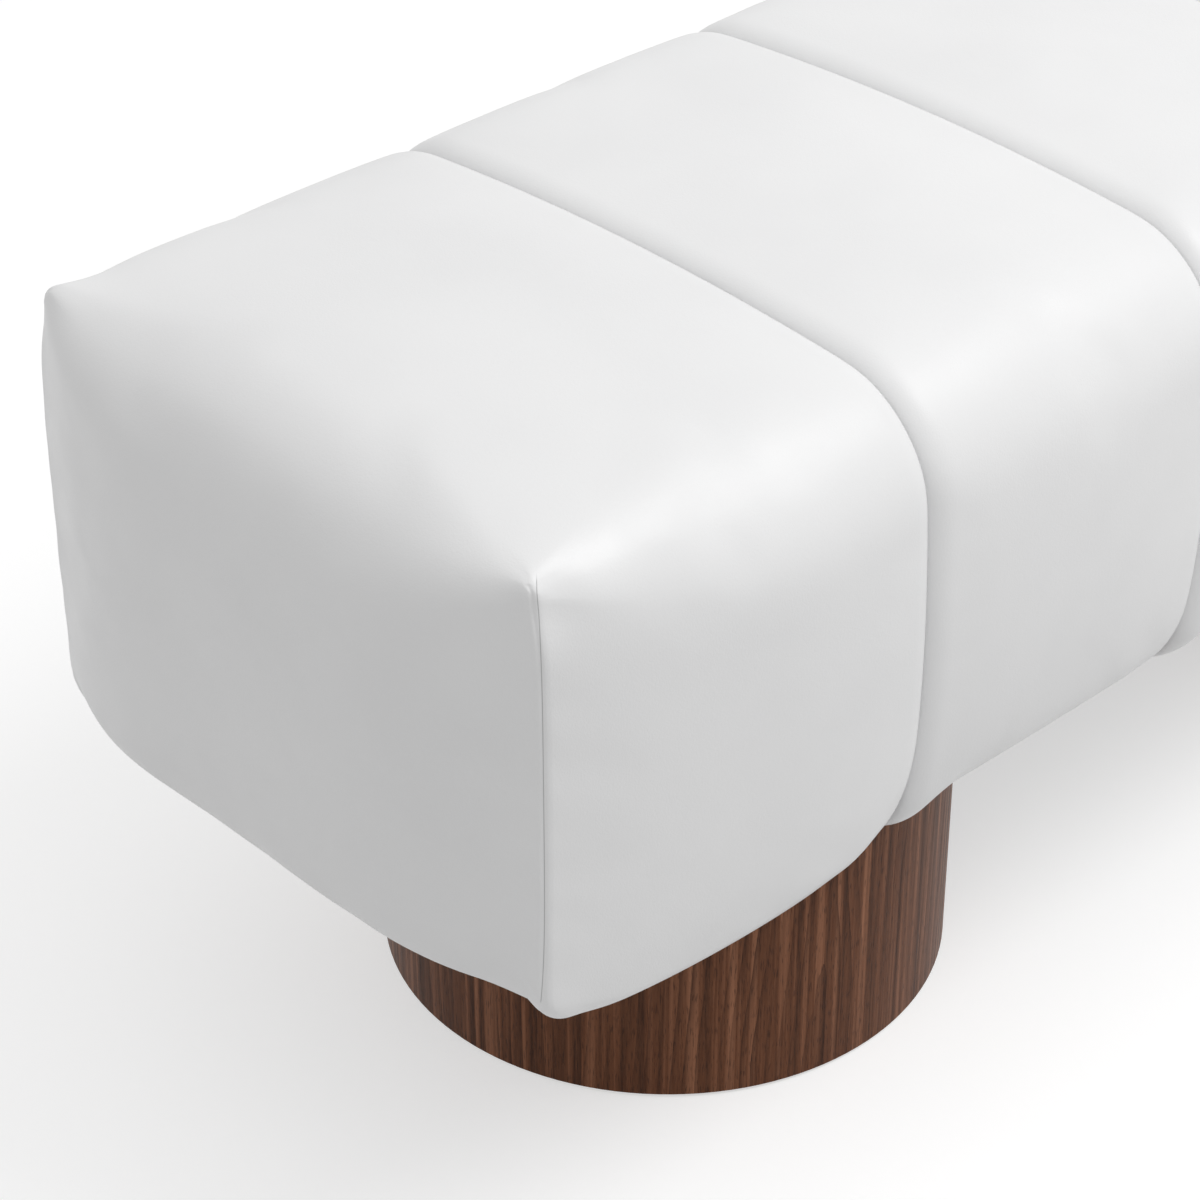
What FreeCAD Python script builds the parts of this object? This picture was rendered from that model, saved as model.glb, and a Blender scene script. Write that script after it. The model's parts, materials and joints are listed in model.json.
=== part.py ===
"""Channel tufted bench: five upholstered channels over a box frame, on two veneered drums.

Millimetres, +Z up. X runs along the bench and Y from the front (-Y) to the back. The origin is on
the floor under the middle of the bench. Each piece is one STEP file in parts/.
"""

import FreeCAD, Part
import math
import os

# Driving sizes of the whole bench
OVERALL_HEIGHT = 457.0
CHANNEL_COUNT = 5
CHANNEL_PITCH = 221.0  # crease to crease
END_CHANNEL_LENGTH = 241.0  # last crease to the corner seam
SEAM_DEPTH = 378.0  # front to back, between the corner seams
PAD_THICKNESS = 2.0
DRUM_HEIGHT = 172.0
DRUM_DIAMETER = 326.0
DRUM_SETBACK = 267.0  # corner seam to the drum's axis, along the bench

# How far the stuffing stands proud of the seams
CROWN_PUFF = 15.0  # top of a channel above the middle of its crease
SIDE_PUFF = 28.0
CREASE_PUFF = 8.0  # the same beside the frame, halfway up a crease
END_PUFF = 18.0
SEAM_BOW = 3.0
CREASE_ROLL = 22.0  # width over which a channel rolls down into its crease
ROLL_SHARE = 0.88  # part of the swell that is reached at the end of that roll

# Cross section of a full channel
TOP_BOW = 11.0
SIDE_BOW = 7.0
LOW_SIDE_BOW = 14.0
TOP_RADIUS = 57.0
LOW_RADIUS = 32.0
END_CHANNEL_LOW_RADIUS = 15.0

# Cross section in a crease
CREASE_TOP_BOW = 11.0
CREASE_SIDE_BOW = 10.0
CREASE_LOW_SIDE_BOW = 11.0
CREASE_TOP_RADIUS = 38.0
CREASE_LOW_RADIUS = 20.0

# Closed end of an end channel
EAR_DROP = 18.0  # pointed top corner, below the crown
EAR_INSET = 6.0
EAR_RADIUS = 4.0
LEAST_RADIUS = 2.0
LEAST_BOW = 0.02
END_GROWTH = 170.0  # distance from the corner seam over which the edges round out
END_EASE_SHARE = 1.5  # power by which that growth eases out
END_TOP_RADIUS = 58.0
END_LOW_RADIUS = 31.0
CAP_RADIUS_SHARE = 0.283  # corner radius of the cap's face, of the seat's height
CAP_WIDTH_SHARE = 0.95  # the most that radius may be, of half the face's width
CAP_ROUNDING_SHARE = 0.4  # power by which the cap's corners open from the seam to its face
CAP_FACE_SHARE = 0.45  # flat middle of the closed end, of the seam's half depth

# Layers from the skin inwards
COVER_THICKNESS = 1.4
WADDING_THICKNESS = 6.0
LAYER_CLEARANCE = 0.3
PULL_STRIP_THICKNESS = 1.0
DUST_COVER_THICKNESS = 0.6
COVER_WRAP = 38.0  # width of cover folded under the base panel
DUST_COVER_LAP = 20.0  # how far the dust cover laps onto that fold

# Box frame
FRAME_INSET_SIDE = 21.0  # seam to the rail's outer face
FRAME_INSET_END = 24.0
BASE_PANEL_THICKNESS = 15.0
RAIL_THICKNESS = 18.0
DECK_THICKNESS = 12.0
SEAT_FOAM_HEIGHT = 127.0  # deck to the crown of the seat
CORNER_BLOCK_SIDE = 38.0

# Drums
VENEER_THICKNESS = 0.6
DRUM_WALL = 12.0
DRUM_TOP_THICKNESS = 18.0
DRUM_RING_THICKNESS = 18.0
DRUM_RING_WIDTH = 42.0
POST_SIDE = 36.0
POST_COUNT = 4
PAD_DIAMETER = 28.0
PAD_COUNT = 4
GLUE_CLEARANCE = 0.1

# Bolts from the drums into the seat, and the T-nuts that take them
BOLT_DIAMETER = 8.0
BOLT_LENGTH = 36.0
BOLT_HEAD_DIAMETER = 18.0
BOLT_HEAD_HEIGHT = 4.5
BOLT_SOCKET = 5.0  # across the flats
BOLT_SOCKET_DEPTH = 3.0
BOLT_CLEARANCE = 0.5
BOLT_CIRCLE = 200.0
BOLT_COUNT = 4
HEXAGON_SIDES = 6
T_NUT_BARREL = 11.0
T_NUT_LENGTH = 11.0
T_NUT_FLANGE = 24.0
T_NUT_FLANGE_THICKNESS = 1.6

# Wood screws of the frame
SCREW_DIAMETER = 4.0
LONGEST_SCREW = 40.0
SCREW_HEAD_DIAMETER = 8.0
SCREW_HEAD_HEIGHT = 2.4
SCREW_END_SPACE = 60.0
SCREW_REACH_SHARE = 0.45  # the most of the frame's height that a screw takes
SCREWS_PER_RAIL = 5

# Staples that hold the cover under the base panel
STAPLE_WIRE = 0.8
STAPLE_WIDTH = 10.0
STAPLE_LEG = 9.0
STAPLE_SPACING = 42.0
STAPLE_EDGE_SPACE = 8.0
STAPLE_DRUM_SPACE = 6.0

OVERRUN = 5.0  # how far a cutting solid runs past what it cuts

# Heights worked out from the sizes above
DRUM_BOTTOM_Z = PAD_THICKNESS
DRUM_TOP_Z = DRUM_BOTTOM_Z + DRUM_HEIGHT
COVER_BOTTOM_Z = DRUM_TOP_Z + DUST_COVER_THICKNESS
FRAME_BOTTOM_Z = COVER_BOTTOM_Z + COVER_THICKNESS
RAIL_BOTTOM_Z = FRAME_BOTTOM_Z + BASE_PANEL_THICKNESS
FRAME_TOP_Z = OVERALL_HEIGHT - SEAT_FOAM_HEIGHT
RAIL_TOP_Z = FRAME_TOP_Z - DECK_THICKNESS
SCREW_LENGTH = min(LONGEST_SCREW, (FRAME_TOP_Z - FRAME_BOTTOM_Z) * SCREW_REACH_SHARE)

# Places along and across the bench
SEAM_HALF_DEPTH = SEAM_DEPTH / 2
LAST_CREASE_X = (CHANNEL_COUNT - 2) * CHANNEL_PITCH / 2
SEAM_HALF_LENGTH = LAST_CREASE_X + END_CHANNEL_LENGTH
CREASES = [index * CHANNEL_PITCH - LAST_CREASE_X for index in range(CHANNEL_COUNT - 1)]
FRAME_HALF_DEPTH = SEAM_HALF_DEPTH - FRAME_INSET_SIDE
FRAME_HALF_LENGTH = SEAM_HALF_LENGTH - FRAME_INSET_END
RAIL_INNER_Y = FRAME_HALF_DEPTH - RAIL_THICKNESS
RAIL_INNER_X = FRAME_HALF_LENGTH - RAIL_THICKNESS
WRAP_INNER_Y = FRAME_HALF_DEPTH - COVER_WRAP
WRAP_INNER_X = FRAME_HALF_LENGTH - COVER_WRAP
DUST_COVER_Y = WRAP_INNER_Y + DUST_COVER_LAP
DUST_COVER_X = WRAP_INNER_X + DUST_COVER_LAP
WADDING_INSET = COVER_THICKNESS + LAYER_CLEARANCE
WADDING_INNER = WADDING_INSET + WADDING_THICKNESS
FOAM_INSET = WADDING_INNER + LAYER_CLEARANCE
CREASE_GAP = PULL_STRIP_THICKNESS / 2 + LAYER_CLEARANCE
OUTER_REACH_Y = SEAM_HALF_DEPTH + SIDE_PUFF + OVERRUN
OUTER_REACH_X = SEAM_HALF_LENGTH + END_PUFF + OVERRUN

# Corner radius of the closed end's face, which neither its height nor its width may exceed
CAP_FACE_HALF_WIDTH = (SEAM_HALF_DEPTH + SEAM_BOW) * CAP_FACE_SHARE
CAP_HEIGHT_RADIUS = (OVERALL_HEIGHT - COVER_BOTTOM_Z) * CAP_RADIUS_SHARE
CAP_RADIUS = min(CAP_HEIGHT_RADIUS, CAP_FACE_HALF_WIDTH * CAP_WIDTH_SHARE)

# Drum radii and places
DRUM_RADIUS = DRUM_DIAMETER / 2
SHELL_RADIUS = DRUM_RADIUS - VENEER_THICKNESS - GLUE_CLEARANCE
DRUM_INNER_RADIUS = SHELL_RADIUS - DRUM_WALL - GLUE_CLEARANCE
RING_HOLE_RADIUS = DRUM_INNER_RADIUS - DRUM_RING_WIDTH
DRUM_X = SEAM_HALF_LENGTH - DRUM_SETBACK
DRUM_SIDES = {"left": -1, "right": 1}

# Stations over the roll beside a crease, as shares of a right angle
ROLL_TURN_SHARES = (0.0, 0.25, 0.5, 0.75, 1.0)
# Stations from the end channel's growth to its seam, as shares of that growth
END_SHARES = (1.0, 0.7, 0.45, 0.25, 0.1, 0.0)
# Stations of the closed end, as shares of its swell past the seam
CAP_SHARES = (0.1, 0.35, 0.7, 1.0)


def vector(x, y, z):
    return FreeCAD.Vector(x, y, z)


def block(x0, x1, y0, y1, z0, z1):
    """Box between two corners."""
    return Part.makeBox(x1 - x0, y1 - y0, z1 - z0, vector(x0, y0, z0))


def rod(x, y, z, radius, height):
    """Upright cylinder standing on z."""
    return Part.makeCylinder(radius, height, vector(x, y, z))


def bowed(start, middle, end):
    """Arc through three points, or a line where it would be all but flat."""
    if (middle - start).cross(end - middle).Length < start.distanceToPoint(end) * LEAST_BOW:
        return Part.LineSegment(start, end).toShape()
    return Part.Arc(start, middle, end).toShape()


def between(low, high, share):
    return low + (high - low) * share


class Section:
    """One cross section of the upholstered seat, given by its skin."""

    def __init__(self, top, top_bow, side, bows, bottom, radii):
        self.top = top
        self.top_bow = top_bow
        self.side = side
        self.bow_high, self.bow_low = bows
        self.bottom = bottom
        self.top_radius, self.low_radius = radii

    def flank(self, x, sign, inset):
        """Rounded top corner, bowed side and rounded bottom corner, from the top down."""
        high = self.side - self.bow_high - inset
        low = self.side - self.bow_low - inset
        corner = self.top - self.top_bow - inset
        bottom = self.bottom + inset
        top_radius = max(self.top_radius - inset, LEAST_RADIUS)
        low_radius = max(self.low_radius - inset, LEAST_RADIUS)
        top_cut = top_radius * (1 - math.sqrt(0.5))
        low_cut = low_radius * (1 - math.sqrt(0.5))
        waist = (corner - top_radius + bottom + low_radius) / 2
        return [
            vector(x, sign * (high - top_radius), corner),
            vector(x, sign * (high - top_cut), corner - top_cut),
            vector(x, sign * high, corner - top_radius),
            vector(x, sign * (self.side - inset), waist),
            vector(x, sign * low, bottom + low_radius),
            vector(x, sign * (low - low_cut), bottom + low_cut),
            vector(x, sign * (low - low_radius), bottom),
        ]

    def wire(self, x, inset):
        """The section at x, drawn inside the skin by inset."""
        right = self.flank(x, 1, inset)
        left = self.flank(x, -1, inset)
        edges = [bowed(left[0], vector(x, 0, self.top - inset), right[0])]
        edges += [bowed(*right[step : step + 3]) for step in (0, 2, 4)]
        edges.append(Part.LineSegment(right[-1], left[-1]).toShape())
        edges += [bowed(*left[step : step + 3][::-1]) for step in (4, 2, 0)]
        return Part.Wire(edges)


def puff(distance):
    """How far the stuffing has swelled at a distance from a crease, from 0 to 1."""
    run = max(1 - distance / CREASE_ROLL, 0)
    crown = 1 - (1 - 2 * min(distance / CHANNEL_PITCH, 0.5)) ** 2
    return ROLL_SHARE * math.sqrt(1 - run**2) + (1 - ROLL_SHARE) * crown


def rounding(radius, distance):
    """How far a rounded edge has dropped, at a distance from its outermost point."""
    run = max(radius - distance, 0)
    return radius - math.sqrt(radius**2 - run**2)


def channel_section(distance):
    """Section at a distance from a crease, up to the middle of the channel."""
    swell = puff(distance)
    return Section(
        top=OVERALL_HEIGHT - CROWN_PUFF * (1 - swell),
        top_bow=between(CREASE_TOP_BOW, TOP_BOW, swell),
        side=SEAM_HALF_DEPTH + between(CREASE_PUFF, SIDE_PUFF, swell),
        bows=(between(CREASE_SIDE_BOW, SIDE_BOW, swell), between(CREASE_LOW_SIDE_BOW, LOW_SIDE_BOW, swell)),
        bottom=COVER_BOTTOM_Z,
        radii=(between(CREASE_TOP_RADIUS, TOP_RADIUS, swell), between(CREASE_LOW_RADIUS, LOW_RADIUS, swell)),
    )


def end_section(share):
    """Section at a share of the end's growth from the corner seam."""
    swell = 1 - (1 - share) ** END_EASE_SHARE
    distance = share * END_GROWTH + END_PUFF
    top = OVERALL_HEIGHT - rounding(END_TOP_RADIUS, distance)
    corner_top = OVERALL_HEIGHT - between(EAR_DROP, TOP_BOW, swell)
    side = between(SEAM_HALF_DEPTH + SEAM_BOW, SEAM_HALF_DEPTH + SIDE_PUFF, swell)
    low_radius = between(END_LOW_RADIUS, END_CHANNEL_LOW_RADIUS, swell)
    return Section(
        top=top,
        top_bow=top - corner_top,
        side=side,
        bows=(between(SEAM_BOW + EAR_INSET, SIDE_BOW, swell), between(SEAM_BOW, LOW_SIDE_BOW, swell)),
        bottom=COVER_BOTTOM_Z + rounding(END_LOW_RADIUS, distance),
        radii=(between(EAR_RADIUS, TOP_RADIUS, swell), low_radius),
    )


def cap_section(share):
    """Section of the closed end, at a share of its swell past the corner seam."""
    distance = END_PUFF * (1 - share)
    radius = CAP_RADIUS * share**CAP_ROUNDING_SHARE
    return Section(
        top=OVERALL_HEIGHT - rounding(END_TOP_RADIUS, distance),
        top_bow=between(EAR_DROP, TOP_BOW, share),
        side=(SEAM_HALF_DEPTH + SEAM_BOW) * math.sqrt(1 - share * (1 - CAP_FACE_SHARE**2)),
        bows=(SEAM_BOW, SEAM_BOW),
        bottom=COVER_BOTTOM_Z + rounding(END_LOW_RADIUS, distance),
        radii=(radius, radius),
    )


def loft(stations, inset):
    wires = [section.wire(x, inset) for x, section in stations]
    return Part.makeLoft(wires, True, False)


def roll_distances():
    """Distances from a crease at the stations over its roll."""
    return [CREASE_ROLL * (1 - math.cos(math.pi / 2 * share)) for share in ROLL_TURN_SHARES]


def middle_form(inset):
    """A channel's form about x = 0, from crease to crease."""
    half = CHANNEL_PITCH / 2
    stations = [(distance - half, channel_section(distance)) for distance in roll_distances() + [half]]
    mirrored = [(-x, section) for x, section in stations[-2::-1]]
    return loft(stations + mirrored, inset)


def end_form(inset):
    """An end channel's form, with its crease at x = 0 and its closed end towards -X."""
    tip = END_CHANNEL_LENGTH + END_PUFF
    shrink = (tip - inset) / tip
    body = [(-distance, channel_section(distance)) for distance in roll_distances()]
    body += [(share * END_GROWTH - END_CHANNEL_LENGTH, end_section(share)) for share in END_SHARES]
    cap = [(-END_CHANNEL_LENGTH - share * END_PUFF, cap_section(share)) for share in CAP_SHARES]
    body = [(x * shrink, section) for x, section in body]
    cap = [(x * shrink, section) for x, section in cap]
    return loft(body, inset).fuse(loft(body[-1:] + cap, inset)).removeSplitter()


def slab(x0, x1):
    """Everything between two planes across the bench."""
    return block(x0, x1, -OUTER_REACH_Y, OUTER_REACH_Y, -OVERRUN, OVERALL_HEIGHT + OVERRUN)


def end_block(inset, gap):
    """An end channel's form, cut back by a gap at its crease."""
    return end_form(inset).common(slab(-OUTER_REACH_X, -gap))


def middle_block(inset, gap):
    """A middle channel's form, cut back by a gap at both creases."""
    half = CHANNEL_PITCH / 2 - gap
    return middle_form(inset).common(slab(-half, half))


def placed(end, middle):
    """Copies of the end piece and the middle piece on every channel, from -X to +X."""
    shapes = [end.translated(vector(-LAST_CREASE_X, 0, 0))]
    for left, right in zip(CREASES, CREASES[1:]):
        shapes.append(middle.translated(vector((left + right) / 2, 0, 0)))
    shapes.append(shapes[0].mirror(vector(0, 0, 0), vector(1, 0, 0)))
    return shapes


def channel_blocks(inset, gap):
    """Solid channels in place, drawn inside the skin by inset."""
    return placed(end_block(inset, gap), middle_block(inset, gap))


def channel_walls(outer_inset, inner_inset, gap):
    """Hollow channels in place, between two depths under the skin."""
    end = end_block(outer_inset, gap).cut(end_form(inner_inset))
    middle = middle_block(outer_inset, gap).cut(middle_form(inner_inset))
    return placed(end, middle)


def frame_room():
    """The space that the box frame fills."""
    return block(
        -FRAME_HALF_LENGTH,
        FRAME_HALF_LENGTH,
        -FRAME_HALF_DEPTH,
        FRAME_HALF_DEPTH,
        FRAME_BOTTOM_Z,
        FRAME_TOP_Z,
    )


def bolt_places(side):
    """Centres of a drum's bolts, on the diagonals."""
    places = []
    for index in range(BOLT_COUNT):
        turn = math.radians(360 * (index + 0.5) / BOLT_COUNT)
        x = side * DRUM_X + BOLT_CIRCLE / 2 * math.cos(turn)
        places.append((x, BOLT_CIRCLE / 2 * math.sin(turn)))
    return places


def staple(x, y, along_x):
    """Staple with its crown under the cover at z = COVER_BOTTOM_Z, and two legs going up."""
    half = STAPLE_WIDTH / 2
    wire = STAPLE_WIRE / 2
    reach = (half, wire) if along_x else (wire, half)
    low = COVER_BOTTOM_Z - STAPLE_WIRE
    shape = block(x - reach[0], x + reach[0], y - reach[1], y + reach[1], low, COVER_BOTTOM_Z)
    for sign in (-1, 1):
        leg_x = x + sign * (half - wire) * (1 if along_x else 0)
        leg_y = y + sign * (half - wire) * (0 if along_x else 1)
        leg = block(leg_x - wire, leg_x + wire, leg_y - wire, leg_y + wire, low, low + STAPLE_LEG)
        shape = shape.fuse(leg)
    return shape.removeSplitter()


def staples():
    """Staples round the folded edge of the cover, clear of the creases and of the drums."""
    shapes = []
    row_y = FRAME_HALF_DEPTH - STAPLE_EDGE_SPACE
    row_x = FRAME_HALF_LENGTH - STAPLE_EDGE_SPACE
    count_x = int(row_x / STAPLE_SPACING)
    for index in range(-count_x, count_x + 1):
        x = index * STAPLE_SPACING
        near_drum = math.hypot(abs(x) - DRUM_X, row_y) < DRUM_RADIUS + STAPLE_DRUM_SPACE + STAPLE_WIDTH
        near_crease = min(abs(x - crease) for crease in CREASES) < STAPLE_WIDTH
        if near_drum or near_crease:
            continue
        shapes.append(staple(x, -row_y, True))
        shapes.append(staple(x, row_y, True))
    count_y = int((row_y - STAPLE_WIDTH) / STAPLE_SPACING)
    for index in range(-count_y, count_y + 1):
        shapes.append(staple(-row_x, index * STAPLE_SPACING, False))
        shapes.append(staple(row_x, index * STAPLE_SPACING, False))
    return shapes


def screw(x, y, z, sign):
    """Countersunk screw with its head's face at z, pointing down (sign -1) or up (sign 1)."""
    head = Part.makeCone(
        SCREW_HEAD_DIAMETER / 2,
        SCREW_DIAMETER / 2,
        SCREW_HEAD_HEIGHT,
        vector(x, y, z),
        vector(0, 0, sign),
    )
    shank = Part.makeCylinder(SCREW_DIAMETER / 2, SCREW_LENGTH, vector(x, y, z), vector(0, 0, sign))
    return head.fuse(shank)


def rail_screws(z, sign):
    """Screws along the middle of the front and back rails."""
    shapes = []
    reach = FRAME_HALF_LENGTH - SCREW_END_SPACE
    for index in range(SCREWS_PER_RAIL):
        x = between(-reach, reach, index / (SCREWS_PER_RAIL - 1))
        for y_sign in (-1, 1):
            shapes.append(screw(x, y_sign * (RAIL_INNER_Y + RAIL_THICKNESS / 2), z, sign))
    return shapes


def covers(staple_list):
    """Leatherette panels: a thin wall over each channel, folded under the base panel."""
    shapes = {}
    open_bottom = block(
        -WRAP_INNER_X,
        WRAP_INNER_X,
        -WRAP_INNER_Y,
        WRAP_INNER_Y,
        COVER_BOTTOM_Z - OVERRUN,
        FRAME_BOTTOM_Z + OVERRUN,
    )
    for index, wall in enumerate(channel_walls(0, COVER_THICKNESS, LAYER_CLEARANCE / 2)):
        held = [shape for shape in staple_list if wall.BoundBox.isInside(shape.BoundBox.Center)]
        shapes[f"channel_{index + 1}_cover"] = wall.cut([open_bottom] + held)
    return shapes


def waddings(frame):
    """Soft wrap under each cover, down to the base panel's edges."""
    shapes = {}
    for index, wall in enumerate(channel_walls(WADDING_INSET, WADDING_INNER, CREASE_GAP)):
        shapes[f"channel_{index + 1}_wadding"] = wall.cut(frame)
    return shapes


def foams():
    """Top block, side pads and end pads of foam, seated against the frame."""
    shapes = {}
    above = block(
        -OUTER_REACH_X,
        OUTER_REACH_X,
        -OUTER_REACH_Y,
        OUTER_REACH_Y,
        FRAME_TOP_Z,
        OVERALL_HEIGHT + OVERRUN,
    )
    behind = block(-OUTER_REACH_X, OUTER_REACH_X, FRAME_HALF_DEPTH, OUTER_REACH_Y, 0, FRAME_TOP_Z)
    before = behind.mirror(vector(0, 0, 0), vector(0, 1, 0))
    beyond = block(-OUTER_REACH_X, -FRAME_HALF_LENGTH, -FRAME_HALF_DEPTH, FRAME_HALF_DEPTH, 0, FRAME_TOP_Z)
    forms = channel_blocks(FOAM_INSET, CREASE_GAP)
    for index, form in enumerate(forms):
        pads = [form.common(before), form.common(behind)]
        shapes[f"channel_{index + 1}_top_foam"] = form.common(above)
        shapes[f"channel_{index + 1}_side_foam"] = Part.makeCompound(pads)
    shapes["left_end_foam"] = forms[0].common(beyond)
    shapes["right_end_foam"] = shapes["left_end_foam"].mirror(vector(0, 0, 0), vector(1, 0, 0))
    return shapes


def pull_strips():
    """Strips sewn to the cover in each crease, and fixed over the frame."""
    half = PULL_STRIP_THICKNESS / 2
    outline = channel_section(0).wire(-half, WADDING_INSET)
    frame = block(-OVERRUN, OVERRUN, -FRAME_HALF_DEPTH, FRAME_HALF_DEPTH, 0, FRAME_TOP_Z)
    sheet = Part.Face(outline).extrude(vector(PULL_STRIP_THICKNESS, 0, 0)).cut(frame)
    return Part.makeCompound([sheet.translated(vector(crease, 0, 0)) for crease in CREASES])


def box_frame(deck_screws, base_screws, bolts, t_nuts, staple_list):
    """Plywood box: base panel, rails, ribs under the creases, corner blocks and deck."""
    shapes = {}
    half_x = FRAME_HALF_LENGTH
    half_y = FRAME_HALF_DEPTH
    panel = block(-half_x, half_x, -half_y, half_y, FRAME_BOTTOM_Z, RAIL_BOTTOM_Z)
    shapes["base_panel"] = panel.cut(base_screws + bolts + t_nuts + staple_list)
    deck = block(-half_x, half_x, -half_y, half_y, RAIL_TOP_Z, FRAME_TOP_Z)
    shapes["deck_panel"] = deck.cut(deck_screws)
    for name, sign in (("front_rail", -1), ("back_rail", 1)):
        low, high = sorted((sign * RAIL_INNER_Y, sign * FRAME_HALF_DEPTH))
        rail = block(-FRAME_HALF_LENGTH, FRAME_HALF_LENGTH, low, high, RAIL_BOTTOM_Z, RAIL_TOP_Z)
        shapes[name] = rail.cut(deck_screws + base_screws)
    for name, sign in (("left_end_rail", -1), ("right_end_rail", 1)):
        low, high = sorted((sign * RAIL_INNER_X, sign * FRAME_HALF_LENGTH))
        shapes[name] = block(low, high, -RAIL_INNER_Y, RAIL_INNER_Y, RAIL_BOTTOM_Z, RAIL_TOP_Z)
    for index, crease in enumerate(CREASES):
        half = RAIL_THICKNESS / 2
        rib = block(crease - half, crease + half, -RAIL_INNER_Y, RAIL_INNER_Y, RAIL_BOTTOM_Z, RAIL_TOP_Z)
        shapes[f"cross_rib_{index + 1}"] = rib
    blocks = []
    for x_sign in (-1, 1):
        for y_sign in (-1, 1):
            x0, x1 = sorted((x_sign * RAIL_INNER_X, x_sign * (RAIL_INNER_X - CORNER_BLOCK_SIDE)))
            y0, y1 = sorted((y_sign * RAIL_INNER_Y, y_sign * (RAIL_INNER_Y - CORNER_BLOCK_SIDE)))
            blocks.append(block(x0, x1, y0, y1, RAIL_BOTTOM_Z, RAIL_TOP_Z))
    shapes["corner_blocks"] = Part.makeCompound(blocks)
    return shapes


def dust_cover(bolt_holes):
    """Thin cloth under the seat, lapping the folded edge of the cover."""
    sheet = block(-DUST_COVER_X, DUST_COVER_X, -DUST_COVER_Y, DUST_COVER_Y, DRUM_TOP_Z, COVER_BOTTOM_Z)
    return sheet.cut(bolt_holes)


def bolt(x, y):
    """Button head bolt with a hexagon socket, driven up from inside the drum."""
    seat = DRUM_TOP_Z - DRUM_TOP_THICKNESS
    shank = rod(x, y, seat, BOLT_DIAMETER / 2, BOLT_LENGTH)
    low = seat - BOLT_HEAD_HEIGHT
    head = rod(x, y, low, BOLT_HEAD_DIAMETER / 2, BOLT_HEAD_HEIGHT)
    lower_rim = [edge for edge in head.Edges if edge.BoundBox.ZMax < seat - BOLT_HEAD_HEIGHT / 2]
    head = head.makeFillet(BOLT_HEAD_HEIGHT / 2, lower_rim)
    corner = BOLT_SOCKET / math.sqrt(3)
    points = []
    for index in range(HEXAGON_SIDES + 1):
        turn = math.radians(360 * index / HEXAGON_SIDES)
        points.append(vector(x + corner * math.cos(turn), y + corner * math.sin(turn), low))
    socket = Part.Face(Part.makePolygon(points)).extrude(vector(0, 0, BOLT_SOCKET_DEPTH))
    return shank.fuse(head).cut(socket)


def t_nut(x, y):
    """Barrel in the base panel with a round flange on the panel's upper face."""
    low = RAIL_BOTTOM_Z - T_NUT_LENGTH
    barrel = rod(x, y, low, T_NUT_BARREL / 2, T_NUT_LENGTH)
    flange = rod(x, y, RAIL_BOTTOM_Z, T_NUT_FLANGE / 2, T_NUT_FLANGE_THICKNESS)
    bore = rod(x, y, low, BOLT_DIAMETER / 2 + GLUE_CLEARANCE, T_NUT_LENGTH + OVERRUN)
    return barrel.fuse(flange).cut(bore)


def drum(name, side, bolt_holes):
    """Veneered drum: skin, bent shell, top disc, bottom ring, posts and felt pads."""
    x = side * DRUM_X
    shapes = {}
    inner = rod(x, 0, DRUM_BOTTOM_Z, DRUM_RADIUS - VENEER_THICKNESS, DRUM_HEIGHT)
    shapes["veneer"] = rod(x, 0, DRUM_BOTTOM_Z, DRUM_RADIUS, DRUM_HEIGHT).cut(inner)
    inner = rod(x, 0, DRUM_BOTTOM_Z, SHELL_RADIUS - DRUM_WALL, DRUM_HEIGHT)
    shapes["shell"] = rod(x, 0, DRUM_BOTTOM_Z, SHELL_RADIUS, DRUM_HEIGHT).cut(inner)
    top_low = DRUM_TOP_Z - DRUM_TOP_THICKNESS
    shapes["top_disc"] = rod(x, 0, top_low, DRUM_INNER_RADIUS, DRUM_TOP_THICKNESS).cut(bolt_holes)
    hole = rod(x, 0, DRUM_BOTTOM_Z, RING_HOLE_RADIUS, DRUM_RING_THICKNESS)
    shapes["bottom_ring"] = rod(x, 0, DRUM_BOTTOM_Z, DRUM_INNER_RADIUS, DRUM_RING_THICKNESS).cut(hole)
    half = POST_SIDE / 2
    post_low = DRUM_BOTTOM_Z + DRUM_RING_THICKNESS
    reach = math.sqrt(DRUM_INNER_RADIUS**2 - half**2)
    posts = []
    pads = []
    for index in range(POST_COUNT):
        post = block(x + reach - POST_SIDE, x + reach, -half, half, post_low, top_low)
        posts.append(post.rotated(vector(x, 0, 0), vector(0, 0, 1), 360 * index / POST_COUNT))
    for index in range(PAD_COUNT):
        turn = math.radians(360 * (index + 0.5) / PAD_COUNT)
        pad_x = x + (DRUM_INNER_RADIUS + RING_HOLE_RADIUS) / 2 * math.cos(turn)
        pad_y = (DRUM_INNER_RADIUS + RING_HOLE_RADIUS) / 2 * math.sin(turn)
        pads.append(rod(pad_x, pad_y, 0, PAD_DIAMETER / 2, PAD_THICKNESS))
    shapes["posts"] = Part.makeCompound(posts)
    shapes["felt_pads"] = Part.makeCompound(pads)
    return {f"{name}_drum_{piece}": shape for piece, shape in shapes.items()}


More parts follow.
